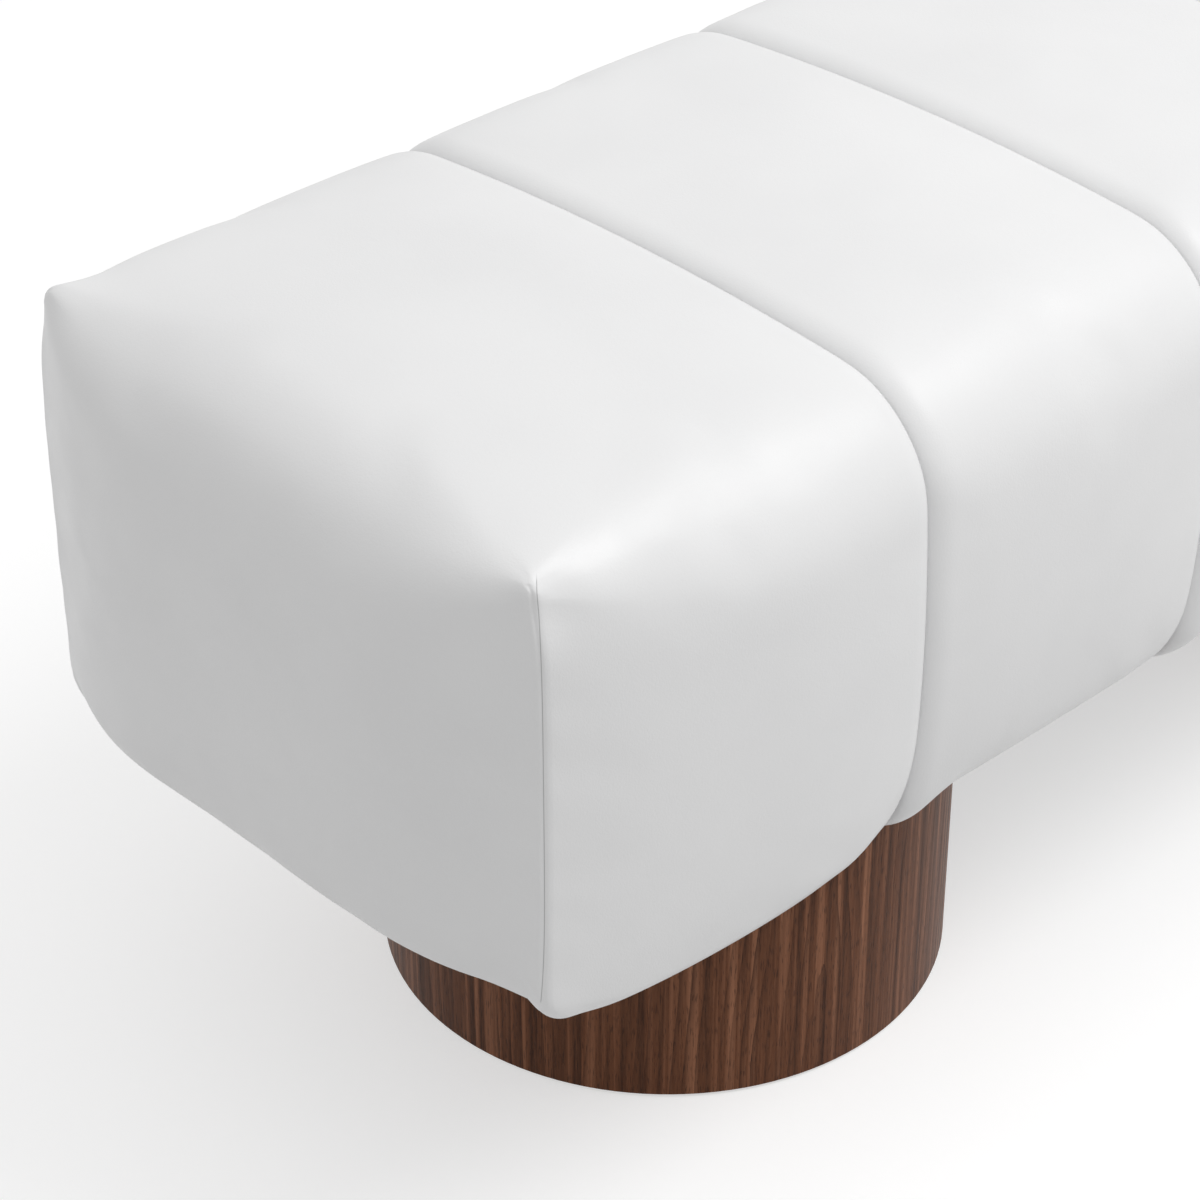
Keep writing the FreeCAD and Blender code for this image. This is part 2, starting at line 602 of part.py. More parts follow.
def main():
    shapes = {}
    frame = frame_room()
    staple_list = staples()
    deck_screws = rail_screws(FRAME_TOP_Z, -1)
    base_screws = rail_screws(FRAME_BOTTOM_Z, 1)
    bolt_holes = []
    all_nuts = []
    for name, side in DRUM_SIDES.items():
        places = bolt_places(side)
        bolts = [bolt(x, y) for x, y in places]
        nuts = [t_nut(x, y) for x, y in places]
        hole_radius = BOLT_DIAMETER / 2 + BOLT_CLEARANCE
        holes = [rod(x, y, 0, hole_radius, RAIL_BOTTOM_Z + OVERRUN) for x, y in places]
        bolt_holes += holes
        all_nuts += nuts
        shapes.update(drum(name, side, holes))
        shapes[f"{name}_drum_bolts"] = Part.makeCompound(bolts)
        shapes[f"{name}_drum_t_nuts"] = Part.makeCompound(nuts)
    shapes.update(covers(staple_list))
    shapes.update(waddings(frame))
    shapes.update(foams())
    shapes["pull_strips"] = pull_strips()
    shapes.update(box_frame(deck_screws, base_screws, bolt_holes, all_nuts, staple_list))
    shapes["dust_cover"] = dust_cover(bolt_holes)
    shapes["deck_screws"] = Part.makeCompound(deck_screws)
    shapes["base_screws"] = Part.makeCompound(base_screws)
    shapes["cover_staples"] = Part.makeCompound(staple_list)
    os.makedirs("parts", exist_ok=True)
    for name, shape in shapes.items():
        shape.exportStep(f"parts/{name}.step")


main()
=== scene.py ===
import json
import math
from itertools import product

import bmesh
import bpy
import numpy as np
from mathutils import Euler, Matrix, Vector


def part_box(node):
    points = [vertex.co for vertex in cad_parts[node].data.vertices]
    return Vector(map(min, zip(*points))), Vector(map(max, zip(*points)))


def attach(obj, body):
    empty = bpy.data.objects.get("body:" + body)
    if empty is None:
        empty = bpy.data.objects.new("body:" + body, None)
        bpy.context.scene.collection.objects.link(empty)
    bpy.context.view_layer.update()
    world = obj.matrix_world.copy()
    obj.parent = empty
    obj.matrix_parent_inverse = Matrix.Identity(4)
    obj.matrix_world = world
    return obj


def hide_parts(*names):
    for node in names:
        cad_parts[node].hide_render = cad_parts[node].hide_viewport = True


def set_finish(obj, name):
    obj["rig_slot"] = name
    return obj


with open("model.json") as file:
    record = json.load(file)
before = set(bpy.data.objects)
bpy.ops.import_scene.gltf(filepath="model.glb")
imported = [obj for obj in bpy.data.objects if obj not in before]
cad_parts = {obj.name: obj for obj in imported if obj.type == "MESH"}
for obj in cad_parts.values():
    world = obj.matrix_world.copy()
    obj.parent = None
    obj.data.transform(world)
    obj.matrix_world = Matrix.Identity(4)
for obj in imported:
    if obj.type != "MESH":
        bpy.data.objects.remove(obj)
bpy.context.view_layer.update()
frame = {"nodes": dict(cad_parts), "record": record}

NODES = frame["nodes"]

# Metres. The bench stands on z = 0, with +X along it and the front at -Y.
MM = 0.001
CHANNEL_COUNT = 5
END_CHANNEL_LENGTH = 0.241
COVER_THICKNESS = 0.0014
CREASE_CLEARANCE = 0.00015

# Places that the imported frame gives
RIB_XS = [sum(c.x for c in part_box(f"cross_rib_{index + 1}")) / 2 for index in range(CHANNEL_COUNT - 1)]
CHANNEL_PITCH = (RIB_XS[-1] - RIB_XS[0]) / (CHANNEL_COUNT - 2)
BOTTOM_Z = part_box("channel_3_cover")[0].z
FRAME_LOW, FRAME_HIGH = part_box("base_panel")[0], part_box("deck_panel")[1]
SEAM_HALF_LENGTH = RIB_XS[-1] + END_CHANNEL_LENGTH

# How a channel swells between its creases
OVERALL_HEIGHT = 0.457
SEAM_HALF_DEPTH = 0.189
SIDE_PUFF = 0.028
CREASE_PUFF = 0.018
CROWN_PUFF = 0.010
CREASE_ROLL = 0.015
ROLL_SHARE = 0.80

# Cross section of a full channel, and in a crease
TOP_BOW = 0.011
SIDE_BOW = 0.007
LOW_SIDE_BOW = 0.014
TOP_RADIUS = 0.062
LOW_RADIUS = 0.043
END_CHANNEL_LOW_RADIUS = 0.013
END_CHANNEL_INNER_RADIUS = 0.034
END_CHANNEL_TAPER = 0.200
END_CHANNEL_LOW_SIDE_BOW = 0.006
CREASE_TOP_BOW = 0.014
CREASE_SIDE_BOW = 0.010
CREASE_LOW_SIDE_BOW = 0.011
CREASE_TOP_RADIUS = 0.042
CREASE_LOW_RADIUS = 0.033
END_CHANNEL_CREASE_RISE = 0.078
INNER_CREASE_RISE = 0.060
OUTER_CREASE_RADIUS = 0.028
LOW_PULL_REACH = 0.045

# Closed end
END_PUFF = 0.025
END_GROWTH = 0.170
GROWTH_POWER = 1.5
EAR_DROP = 0.018
EAR_INSET = 0.0035
EAR_RADIUS = 0.007
SEAM_BOW = 0.003
END_TOP_RADIUS = 0.052
END_DROP = 0.004
END_LOW_RADIUS = 0.043
SEAM_ROLL = 0.006
SEAM_GROOVE = 0.0006
FACE_FLAT_SHARE = 0.45
TOP_OPEN_SHARE = 0.60
FOLD_LOW_RADIUS = 0.028
FOLD_REACH = 0.045
FOLD_ROLL = 0.057
BACK_FOLD_ROLL = 0.034
FOLD_ROLL_SHARE = 0.85
SEAM_BEND_POWER = 4
BODY_BEND_POWER = 2

# Lines of the channel mesh
TOP_LINES = 12
CORNER_LINES = 5
SIDE_LINES = 18
END_LINES = 5
ROLL_LINES = 7
BODY_LINES = 20
ARC_HANDLE_SHARE = 0.55
FACE_BORDER_POWER = 4
WALL_BORDER_POWER = 1


def between(low, high, share):
    return low + (high - low) * share


def smooth(share):
    share = min(max(share, 0), 1)
    return share * share * (3 - 2 * share)


def rounded(start, start_way, start_reach, end, end_way, end_reach):
    """Points of a rounded corner, a cubic between two tangent points, without the last one."""
    start, end = np.array(start), np.array(end)
    b = start + np.array(start_way) * start_reach * ARC_HANDLE_SHARE
    c = end - np.array(end_way) * end_reach * ARC_HANDLE_SHARE
    points = []
    for index in range(2 * CORNER_LINES):
        share = index / (2 * CORNER_LINES)
        rest = 1 - share
        points.append(start * rest**3 + 3 * b * rest**2 * share + 3 * c * rest * share**2 + end * share**3)
    return points


def half_section(top, top_bow, side, bow_high, bow_low, top_radius, bend, low_radius, low_rise):
    """Points of half a cross section, from the top's middle round to the bottom's middle."""
    high = side - bow_high
    low = side - bow_low
    corner = top - top_bow
    middle = (corner - top_radius + BOTTOM_Z + low_radius) / 2
    upper = corner - middle
    lower = middle - BOTTOM_Z

    def top_z(y):
        return top - top_bow * (y / high) ** 2

    def side_y(z):
        if z > middle:
            return side - bow_high * ((z - middle) / upper) ** bend
        return side - bow_low * ((middle - z) / lower) ** 2

    top_end = high - top_radius
    side_start = corner - top_radius
    side_end = BOTTOM_Z + low_rise
    top_slope = 2 * top_bow * top_end / high**2
    rise = (side_start - middle) / upper
    side_slope = bend * bow_high * rise ** (bend - 1) / upper
    low_slope = 2 * bow_low * (middle - side_end) / lower**2
    low_end = low - low_radius
    result = []
    for index in range(TOP_LINES):
        y = top_end * index / TOP_LINES
        result.append((y, top_z(y)))
    start, end = (top_end, top_z(top_end)), (side_y(side_start), side_start)
    result += rounded(start, (1, -top_slope), top_radius, end, (side_slope, -1), top_radius)
    for index in range(SIDE_LINES):
        z = between(side_start, side_end, index / SIDE_LINES)
        result.append((side_y(z), z))
    start, end = (side_y(side_end), side_end), (low_end, BOTTOM_Z)
    result += rounded(start, (-low_slope, -1), low_rise, end, (-1, 0), low_radius)
    for index in range(TOP_LINES + 1):
        result.append((low_end * (1 - index / TOP_LINES), BOTTOM_Z))
    return np.array(result)


# Places round the half section, from the top's middle to the bottom's middle
TOP_BORDER = TOP_LINES + CORNER_LINES
LOW_BORDER = TOP_BORDER + 2 * CORNER_LINES + SIDE_LINES
HALF_POINTS = LOW_BORDER + TOP_BORDER
SIDE_ROWS = LOW_BORDER - TOP_BORDER


def outward_angles():
    """Direction that the skin faces at each half section point: a right angle is up, 0 is sideways."""
    places = np.arange(HALF_POINTS + 1)
    upper = np.clip((places - TOP_LINES) / (2 * CORNER_LINES), 0, 1)
    lower = np.clip((places - LOW_BORDER + CORNER_LINES) / (2 * CORNER_LINES), 0, 1)
    return math.pi / 2 * (1 - upper - lower)


def swell_at(distance):
    """How far a channel has swelled at a distance from a crease, from 0 to 1."""
    run = max(1 - distance / CREASE_ROLL, 0)
    crown = 1 - (1 - 2 * min(distance / CHANNEL_PITCH, 0.5)) ** 2
    return ROLL_SHARE * math.sqrt(1 - run**2) + (1 - ROLL_SHARE) * crown


def end_channel_low_corner(to_crease, from_end):
    """Depth and rise of an end channel's low corner, large where the crease or the fold draws it in."""
    taper = smooth(to_crease / END_CHANNEL_TAPER)
    radius = between(END_CHANNEL_INNER_RADIUS, END_CHANNEL_LOW_RADIUS, taper)
    corner = []
    for crease_reach in (CREASE_LOW_RADIUS, END_CHANNEL_CREASE_RISE):
        reach = between(crease_reach, radius, smooth(to_crease / LOW_PULL_REACH))
        corner.append(between(FOLD_LOW_RADIUS, reach, smooth(from_end / FOLD_REACH)))
    return corner


def crease_corners(number):
    """Depth and rise of a channel's low corner at its first and its last crease."""
    inner = (CREASE_LOW_RADIUS, INNER_CREASE_RISE)
    outer = (OUTER_CREASE_RADIUS, OUTER_CREASE_RADIUS)
    middle = (CREASE_LOW_RADIUS, CREASE_LOW_RADIUS)
    return {2: (outer, inner), CHANNEL_COUNT - 1: (inner, outer)}.get(number, (middle, middle))


def body_section(swell, growth, low_corner, low_bow=LOW_SIDE_BOW):
    """Cross section between the creases; growth is 0 at a corner seam and 1 in a full channel."""
    drop = END_DROP * (1 - growth) ** 2
    full = {
        "top": OVERALL_HEIGHT - drop,
        "top_bow": between(EAR_DROP, TOP_BOW, growth) - drop,
        "side": SEAM_HALF_DEPTH + between(SEAM_BOW, SIDE_PUFF, growth),
        "bow_high": between(SEAM_BOW + EAR_INSET, SIDE_BOW, growth),
        "bow_low": between(SEAM_BOW, low_bow, growth),
        "top_radius": between(EAR_RADIUS, TOP_RADIUS, growth),
        "bend": between(SEAM_BEND_POWER, BODY_BEND_POWER, growth),
    }
    crease = {
        "top": OVERALL_HEIGHT - CROWN_PUFF,
        "top_bow": CREASE_TOP_BOW,
        "side": SEAM_HALF_DEPTH + CREASE_PUFF,
        "bow_high": CREASE_SIDE_BOW,
        "bow_low": CREASE_LOW_SIDE_BOW,
        "top_radius": CREASE_TOP_RADIUS,
        "bend": BODY_BEND_POWER,
    }
    mixed = {name: between(crease[name], full[name], swell) for name in full}
    return half_section(low_radius=low_corner[0], low_rise=low_corner[1], **mixed)


class Skin:
    """Half section points of a channel, for any distance from its start along the bench."""

    def __init__(self, length, is_end, creases=()):
        self.length = length
        self.is_end = is_end
        self.creases = creases
        turns = np.linspace(0, math.pi / 2, 2 * ROLL_LINES + 1)
        rolls = CREASE_ROLL * (1 - np.sin(turns))
        start = [0] if is_end else rolls
        body = np.linspace(start[0], length - CREASE_ROLL, 2 * BODY_LINES + 1)
        self.places = np.unique(np.concatenate([start, body, length - rolls]))
        self.table = np.array([self.at(place) for place in self.places])

    def at(self, place):
        """Cross section at a place along the channel."""
        if self.is_end:
            to_crease = self.length - place
            growth = 1 - (1 - min(place / END_GROWTH, 1)) ** GROWTH_POWER
            low_corner = end_channel_low_corner(to_crease, place)
            return body_section(swell_at(to_crease), growth, low_corner, END_CHANNEL_LOW_SIDE_BOW)
        to_crease = min(place, self.length - place)
        crease = self.creases[0] if place < self.length / 2 else self.creases[1]
        share = smooth(to_crease / LOW_PULL_REACH)
        low_corner = [between(reach, LOW_RADIUS, share) for reach in crease]
        return body_section(swell_at(to_crease), 1, low_corner)

    def point(self, place, index):
        place = min(max(place, 0), self.length)
        y = np.interp(place, self.places, self.table[:, index, 0])
        z = np.interp(place, self.places, self.table[:, index, 1])
        return np.array([y, z])


def end_radii(skin, side):
    """Radius of the roll over to the closed end, at each half section point of the front or the back."""
    half = skin.point(0, TOP_BORDER)[0]
    radii = []
    for index in range(HALF_POINTS + 1):
        y = skin.point(0, index)[0]
        if index <= TOP_BORDER:
            closed_share = 1 - min((1 - y / half) / TOP_OPEN_SHARE, 1)
            radii.append(between(SEAM_ROLL, END_TOP_RADIUS, 1 - closed_share**2))
        else:
            gather = smooth((index - LOW_BORDER + CORNER_LINES) / (2 * CORNER_LINES))
            low_share = smooth((1 - y / half) / FOLD_ROLL_SHARE) if index >= LOW_BORDER else 0
            fold_roll = FOLD_ROLL if side < 0 else BACK_FOLD_ROLL
            radii.append(between(SEAM_ROLL, between(fold_roll, END_LOW_RADIUS, low_share), gather))
    return radii


def face_swell(share):
    """How far the closed end swells past the corner seams, at a share of the half depth."""
    flat = 1 - FACE_FLAT_SHARE**2
    reach = min(max((1 - share * share) / flat, 0), 1)
    return END_PUFF * math.sin(reach * math.pi / 2)


def loop_index(index, side):
    """Place in the whole loop of a half section point on the front (-1) or the back (1)."""
    return index if side < 0 else (2 * HALF_POINTS - index) % (2 * HALF_POINTS)


def end_lines(skin):
    """Rows of points round the body from the closed end to the crease, in (x, y, z)."""
    angles = outward_angles()
    radii = {side: end_radii(skin, side) for side in (-1, 1)}
    half = skin.point(0, TOP_BORDER)[0]
    roll_start = skin.length - CREASE_ROLL
    lines = []
    for line in range(END_LINES + BODY_LINES + ROLL_LINES + 1):
        row = np.zeros((2 * HALF_POINTS, 3))
        for index, side in product(range(HALF_POINTS + 1), (-1, 1)):
            radius = radii[side][index]
            upright = TOP_BORDER <= index <= LOW_BORDER
            tip = 0 if upright else face_swell(skin.point(0, index)[0] / half)
            drop = 0
            if line <= END_LINES:
                turn = math.pi / 4 * (1 - line / END_LINES)
                place = radius * (1 - math.sin(turn)) - tip
                drop = radius * (1 - math.cos(turn))
            elif line <= END_LINES + BODY_LINES:
                place = between(radius - tip, roll_start, (line - END_LINES) / BODY_LINES)
            else:
                turn = math.pi / 2 * (line - END_LINES - BODY_LINES) / ROLL_LINES
                place = skin.length - CREASE_ROLL * (1 - math.sin(turn))
            y, z = skin.point(place, index)
            y -= drop * math.cos(angles[index])
            z -= drop * math.sin(angles[index])
            row[loop_index(index, side)] = (place, side * y, z)
        lines.append(row)
    return lines


def middle_lines(skin):
    """The same for a channel between two creases."""
    lines = []
    turns = [math.pi / 2 * index / ROLL_LINES for index in range(ROLL_LINES + 1)]
    start = [CREASE_ROLL * (1 - math.sin(turn)) for turn in reversed(turns)]
    body = list(np.linspace(CREASE_ROLL, skin.length - CREASE_ROLL, BODY_LINES + 1))[1:-1]
    for place in start + body + [skin.length - value for value in reversed(start)]:
        row = np.zeros((2 * HALF_POINTS, 3))
        for index, side in product(range(HALF_POINTS + 1), (-1, 1)):
            y, z = skin.point(place, index)
            row[loop_index(index, side)] = (place, side * y, z)
        lines.append(row)
    return lines


def grid_border(row):
    """The loop's points laid out as the border of a grid, with its inside left at zero."""
    grid = np.zeros((SIDE_ROWS + 1, 2 * TOP_BORDER + 1, 3))
    names = -np.ones(grid.shape[:2], int)
    for column in range(2 * TOP_BORDER + 1):
        offset = column - TOP_BORDER
        side = -1 if offset < 0 else 1
        names[0, column] = loop_index(abs(offset), side)
        names[-1, column] = loop_index(HALF_POINTS - abs(offset), side)
    for step in range(SIDE_ROWS + 1):
        names[step, 0] = loop_index(TOP_BORDER + step, -1)
        names[step, -1] = loop_index(TOP_BORDER + step, 1)
    on_border = names >= 0
    grid[on_border] = row[names[on_border]]
    return grid, names


def carry_border(grid, wished, power):
    """Shifts the wished inside so that it meets the border, less and less towards the middle."""
    rows, columns = grid.shape[:2]
    down = np.linspace(0, 1, rows)[:, None, None]
    across = np.linspace(0, 1, columns)[None, :, None]
    ends = ((0, (1 - down) ** power), (-1, down**power))
    sides = ((0, (1 - across) ** power), (-1, across**power))
    error = grid - wished
    result = wished.copy()
    for row, share in ends:
        result += error[row][None] * share
    for column, share in sides:
        result += error[:, column][:, None] * share
    for (row, row_share), (column, column_share) in product(ends, sides):
        result -= error[row, column] * row_share * column_share
    result[0], result[-1] = grid[0], grid[-1]
    result[:, 0], result[:, -1] = grid[:, 0], grid[:, -1]
    return result


def end_face(skin, row):
    """Grid of points over the closed end, within the first row of the body."""
    grid, names = grid_border(row)
    radii = {side: end_radii(skin, side) for side in (-1, 1)}
    half = skin.point(0, TOP_BORDER)[0]
    inner = skin.point(0, TOP_LINES)[0] / half
    wished = np.zeros_like(grid)
    for step in range(SIDE_ROWS + 1):
        seam_y = skin.point(0, TOP_BORDER + step)[0]
        for column in range(2 * TOP_BORDER + 1):
            index = abs(column - TOP_BORDER)
            side = -1 if column < TOP_BORDER else 1
            share = skin.point(0, index)[0] / half
            seam_turn = math.pi / 2 - math.pi / 4 * max(index - TOP_LINES, 0) / CORNER_LINES
            y = (seam_y - SEAM_ROLL) * min(share / inner, 1) + SEAM_ROLL * math.cos(seam_turn)
            out = SEAM_ROLL * (1 - math.sin(seam_turn)) - face_swell(min(y / half, 1))
            top_radius, low_radius = radii[side][index], radii[side][HALF_POINTS - index]
            top = skin.point(0, index)[1]
            bottom = skin.point(0, HALF_POINTS - index)[1]
            if step <= CORNER_LINES:
                turn = math.pi / 4 * (1 + step / CORNER_LINES)
                z = top - top_radius * (1 - math.cos(turn))
                out += top_radius * (1 - math.sin(turn))
            elif step >= SIDE_ROWS - CORNER_LINES:
                turn = math.pi / 4 * (1 + (SIDE_ROWS - step) / CORNER_LINES)
                z = bottom + low_radius * (1 - math.cos(turn))
                out += low_radius * (1 - math.sin(turn))
            else:
                down = (step - CORNER_LINES) / (SIDE_ROWS - 2 * CORNER_LINES)
                z = between(top - top_radius, bottom + low_radius, down)
            wished[step, column] = (out, side * y, z)
    return carry_border(grid, wished, FACE_BORDER_POWER), names


def flat_wall(row):
    """Grid of points over a crease's flat wall."""
    grid, names = grid_border(row)
    across = np.linspace(0, 1, grid.shape[1])[None, :, None]
    wished = between(grid[:, :1], grid[:, -1:], across)
    return carry_border(grid, wished, WALL_BORDER_POWER), names


def channel_mesh(lines, faces):
    """Closed mesh from the body's rows and a grid over each end, with both as vertices."""
    mesh = bmesh.new()
    count = 2 * HALF_POINTS
    rows = [[mesh.verts.new(point) for point in line] for line in lines]
    for low, high in zip(rows, rows[1:]):
        for index in range(count):
            after = (index + 1) % count
            mesh.faces.new((low[index], low[after], high[after], high[index]))
    grids = []
    for row, (points, names), flip in ((rows[0], faces[0], False), (rows[-1], faces[1], True)):
        grid = []
        for step in range(points.shape[0]):
            grid.append([])
            for column in range(points.shape[1]):
                known = names[step, column]
                grid[-1].append(row[known] if known >= 0 else mesh.verts.new(points[step, column]))
        for step in range(len(grid) - 1):
            for column in range(len(grid[0]) - 1):
                corners = [grid[step][column], grid[step][column + 1]]
                corners += [grid[step + 1][column + 1], grid[step + 1][column]]
                mesh.faces.new(corners if flip else corners[::-1])
        grids.append(grid)
    bmesh.ops.recalc_face_normals(mesh, faces=mesh.faces)
    return mesh, rows, grids


# Soft pieces: simulation
CLOTH_SETTINGS = {
    "use_pressure": True,
    "uniform_pressure_force": 4.0,
    "quality": 5,
    "tension_stiffness": 20,
    "compression_stiffness": 20,
    "shear_stiffness": 8,
    "bending_stiffness": 1.5,
    "shrink_min": -0.008,
}
SIMULATED_FRAMES = 20
MOST_MOVE = 0.0035
LEAST_MOVE = 0.0000014
SWELL_SOFTNESS = 0.010
CREASE_HOLD_REACH = 0.030
SHARP_ANGLE = 50


def link(mesh, name):
    made = bpy.data.meshes.new(name)
    mesh.to_mesh(made)
    mesh.free()
    piece = bpy.data.objects.new(name, made)
    bpy.context.scene.collection.objects.link(piece)
    return piece


def coordinates(mesh):
    values = np.zeros(len(mesh.vertices) * 3, np.float32)
    mesh.vertices.foreach_get("co", values)
    return values.reshape(-1, 3).astype(float)


def set_coordinates(mesh, values):
    mesh.vertices.foreach_set("co", values.astype(np.float32).ravel())
    mesh.update()


def puff_up(piece, held):
    """Inflates the piece as cloth held at its seams, and keeps each point's move under a cap."""
    before = coordinates(piece.data)
    group = piece.vertex_groups.new(name="held")
    for index, weight in enumerate(held):
        group.add([index], float(weight), "REPLACE")
    cloth = piece.modifiers.new("cloth", "CLOTH")
    cloth.settings.vertex_group_mass = group.name
    cloth.settings.effector_weights.gravity = 0
    for key, value in CLOTH_SETTINGS.items():
        setattr(cloth.settings, key, value)
    cloth.point_cache.frame_start = 1
    cloth.point_cache.frame_end = SIMULATED_FRAMES
    scene = bpy.context.scene
    for step in range(1, SIMULATED_FRAMES + 1):
        scene.frame_set(step)
    settled = piece.evaluated_get(bpy.context.evaluated_depsgraph_get())
    move = coordinates(settled.to_mesh()) - before
    settled.to_mesh_clear()
    piece.modifiers.remove(cloth)
    piece.vertex_groups.remove(group)
    scene.frame_set(1)
    far = np.linalg.norm(move, axis=1, keepdims=True)
    reach = MOST_MOVE * np.tanh(far / SWELL_SOFTNESS)
    move = move / np.maximum(far, LEAST_MOVE) * reach
    set_coordinates(piece.data, before + move * (1 - np.array(held))[:, None])
    return float(far.max())


def subdivided(piece):
    """One subdivision, applied."""
    smoother = piece.modifiers.new("smoother", "SUBSURF")
    smoother.levels = 1
    smoother.render_levels = 1
    apply_modifiers(piece)


def apply_modifiers(piece):
    made = bpy.data.meshes.new_from_object(piece.evaluated_get(bpy.context.evaluated_depsgraph_get()))
    piece.modifiers.clear()
    old = piece.data
    piece.data = made
    bpy.data.meshes.remove(old)


def box_piece(low, high):
    mesh = bmesh.new()
    bmesh.ops.create_cube(mesh, size=1)
    for vertex in mesh.verts:
        vertex.co = Vector(between(a, b, share + 0.5) for a, b, share in zip(low, high, vertex.co))
    return link(mesh, "box")


def hollowed(piece, low, high):
    """Cuts away the box between two corners."""
    cutter = box_piece(low, high)
    cut = piece.modifiers.new("cut", "BOOLEAN")
    cut.operation = "DIFFERENCE"
    cut.solver = "EXACT"
    cut.object = cutter
    apply_modifiers(piece)
    bpy.data.objects.remove(cutter)


# Frame cavity in the cushions
FRAME_CLEARANCE = 0.0003
COVER_WRAP = 0.038

# Details of the corner seams
SEAM_LOW_Z = 0.200
SEAM_HIGH_Z = 0.4395
SEAM_MIDDLE_Z = 0.320
SEAM_HALF_RISE = 0.119
# Width of the painted shade line along the corner seams
SEAM_SHADE_WIDTH = 0.0005
SEAM_GROOVE_WIDTH = 0.0011
PUCKER_PITCH = 0.0062
PUCKER_DEPTH = 0.00022
PUCKER_REACH = 0.011
PUCKER_SEAM_SPACE = 0.002
PUCKER_DRIFT = 0.8
PUCKER_DRIFT_LENGTH = 0.03
PUCKER_LEAST_SHARE = 0.6
PUCKER_FADE_LENGTH = 0.02
HASH_TURN = 127.1
HASH_GAIN = 43758.5453
EAR_PINCH = 0.0008
EAR_PINCH_REACH = 0.010
EAR_PINCH_SIDE_SHARE = 0.8
BACK_SEAM_SWELL = 0.003
BACK_EAR_INSET = 0.009
BACK_SEAM_REACH = 0.035
BACK_EAR_RISE = 0.0045
BACK_EAR_RISE_REACH = 0.023
EAR_DIMPLE = 0.0035
EAR_DIMPLE_REACH = 0.013
EAR_DIMPLE_SPACE = 0.014
FOLD_LOBE = 0.0055
FOLD_LOBE_PLACE = 0.008
FOLD_LOBE_REACH = 0.013
FOLD_LOBE_RISE = 0.022
FOLD_EDGE = 0.0015
FOLD_BOTTOM_SPACE = 0.0035


def seam_line(skin):
    """Height and half depth of the corner seam's points, from the ear down."""
    diagonal = SEAM_ROLL * (1 - math.sqrt(0.5))
    points = [skin.point(0, index) for index in range(TOP_BORDER, LOW_BORDER + 1)]
    return np.array([(z, y - diagonal) for y, z in points])


def hash_noise(values, seed):
    """Smooth noise between -1 and 1 along a line of values."""
    base = np.floor(values)
    part = values - base
    ends = []
    for place in (base, base + 1):
        value = np.sin((place + seed) * HASH_TURN) * HASH_GAIN
        ends.append((value - np.floor(value)) * 2 - 1)
    return between(*ends, part * part * (3 - 2 * part))


def bell(distance, reach):
    """1 at no distance, falling smoothly to 0 beyond the reach."""
    return np.exp(-((distance / reach) ** 2))


def sew_corners(piece, skin, seam_x, way, seed):
    """Grooves, puckers, pointed ears and gathered folds at a channel's two corner seams."""
    line = seam_line(skin)[::-1]
    points = coordinates(piece.data)
    normals = np.zeros(len(points) * 3, np.float32)
    piece.data.vertices.foreach_get("normal", normals)
    normals = normals.reshape(-1, 3)
    heights, depths = line[:, 0], line[:, 1]
    seam_y = np.interp(points[:, 2], heights, depths)
    off_x = points[:, 0] - seam_x - way * SEAM_ROLL * (1 - math.sqrt(0.5))
    off_y = np.abs(points[:, 1]) - seam_y
    distance = np.hypot(off_x, off_y)
    side = np.sign(points[:, 1])
    inside = (points[:, 2] > heights[0]) & (points[:, 2] < heights[-1])
    groove = SEAM_GROOVE * bell(distance, SEAM_GROOVE_WIDTH) * inside
    phase = points[:, 2] / PUCKER_PITCH
    phase += PUCKER_DRIFT * hash_noise(points[:, 2] / PUCKER_DRIFT_LENGTH, seed + side)
    strength = hash_noise(points[:, 2] / PUCKER_FADE_LENGTH, seed + 7 + side)
    strength = PUCKER_LEAST_SHARE + (1 - PUCKER_LEAST_SHARE) * strength
    pucker = PUCKER_DEPTH * strength * np.cos(2 * math.pi * phase) * np.exp(-distance / PUCKER_REACH)
    pucker *= inside * distance / (distance + PUCKER_SEAM_SPACE)
    points = points - normals * (groove + pucker)[:, None]
    rise = np.clip((points[:, 2] - SEAM_MIDDLE_Z) / SEAM_HALF_RISE, 0, 1)
    shift = BACK_SEAM_SWELL - BACK_EAR_INSET * rise**SEAM_BEND_POWER
    points[:, 1] += (side > 0) * shift * bell(distance, BACK_SEAM_REACH)
    ear = np.sqrt(distance**2 + (points[:, 2] - heights[-1]) ** 2)
    points[:, 2] += (side > 0) * BACK_EAR_RISE * bell(ear, BACK_EAR_RISE_REACH)
    pull = EAR_PINCH * bell(ear, EAR_PINCH_REACH)
    ones = np.ones(len(points))
    points += pull[:, None] * np.stack([-way * ones, EAR_PINCH_SIDE_SHARE * side, ones], 1)
    along = way * (points[:, 0] - seam_x)
    beside = np.hypot(along - EAR_DIMPLE_SPACE, points[:, 2] - heights[-1] + EAR_DIMPLE_SPACE)
    dimple = bell(beside, EAR_DIMPLE_REACH) * bell(off_y, EAR_DIMPLE_REACH)
    points[:, 1] -= side * EAR_DIMPLE * dimple
    edge = np.clip(along / FOLD_EDGE, 0, 1)
    lobe = FOLD_LOBE * edge**2 * (3 - 2 * edge) * bell(along - FOLD_LOBE_PLACE, FOLD_LOBE_REACH)
    lobe *= bell(points[:, 2] - BOTTOM_Z, FOLD_LOBE_RISE) * bell(off_y, FOLD_LOBE_RISE)
    points[:, 1] += side * lobe / 2
    points[:, 2] -= lobe * np.clip((points[:, 2] - BOTTOM_Z) / FOLD_BOTTOM_SPACE, 0, 1)
    set_coordinates(piece.data, points)


def shade(piece):
    """Smooth shading, sharp at real edges."""
    piece.data.shade_smooth()
    piece.data.set_sharp_from_angle(angle=math.radians(SHARP_ANGLE))


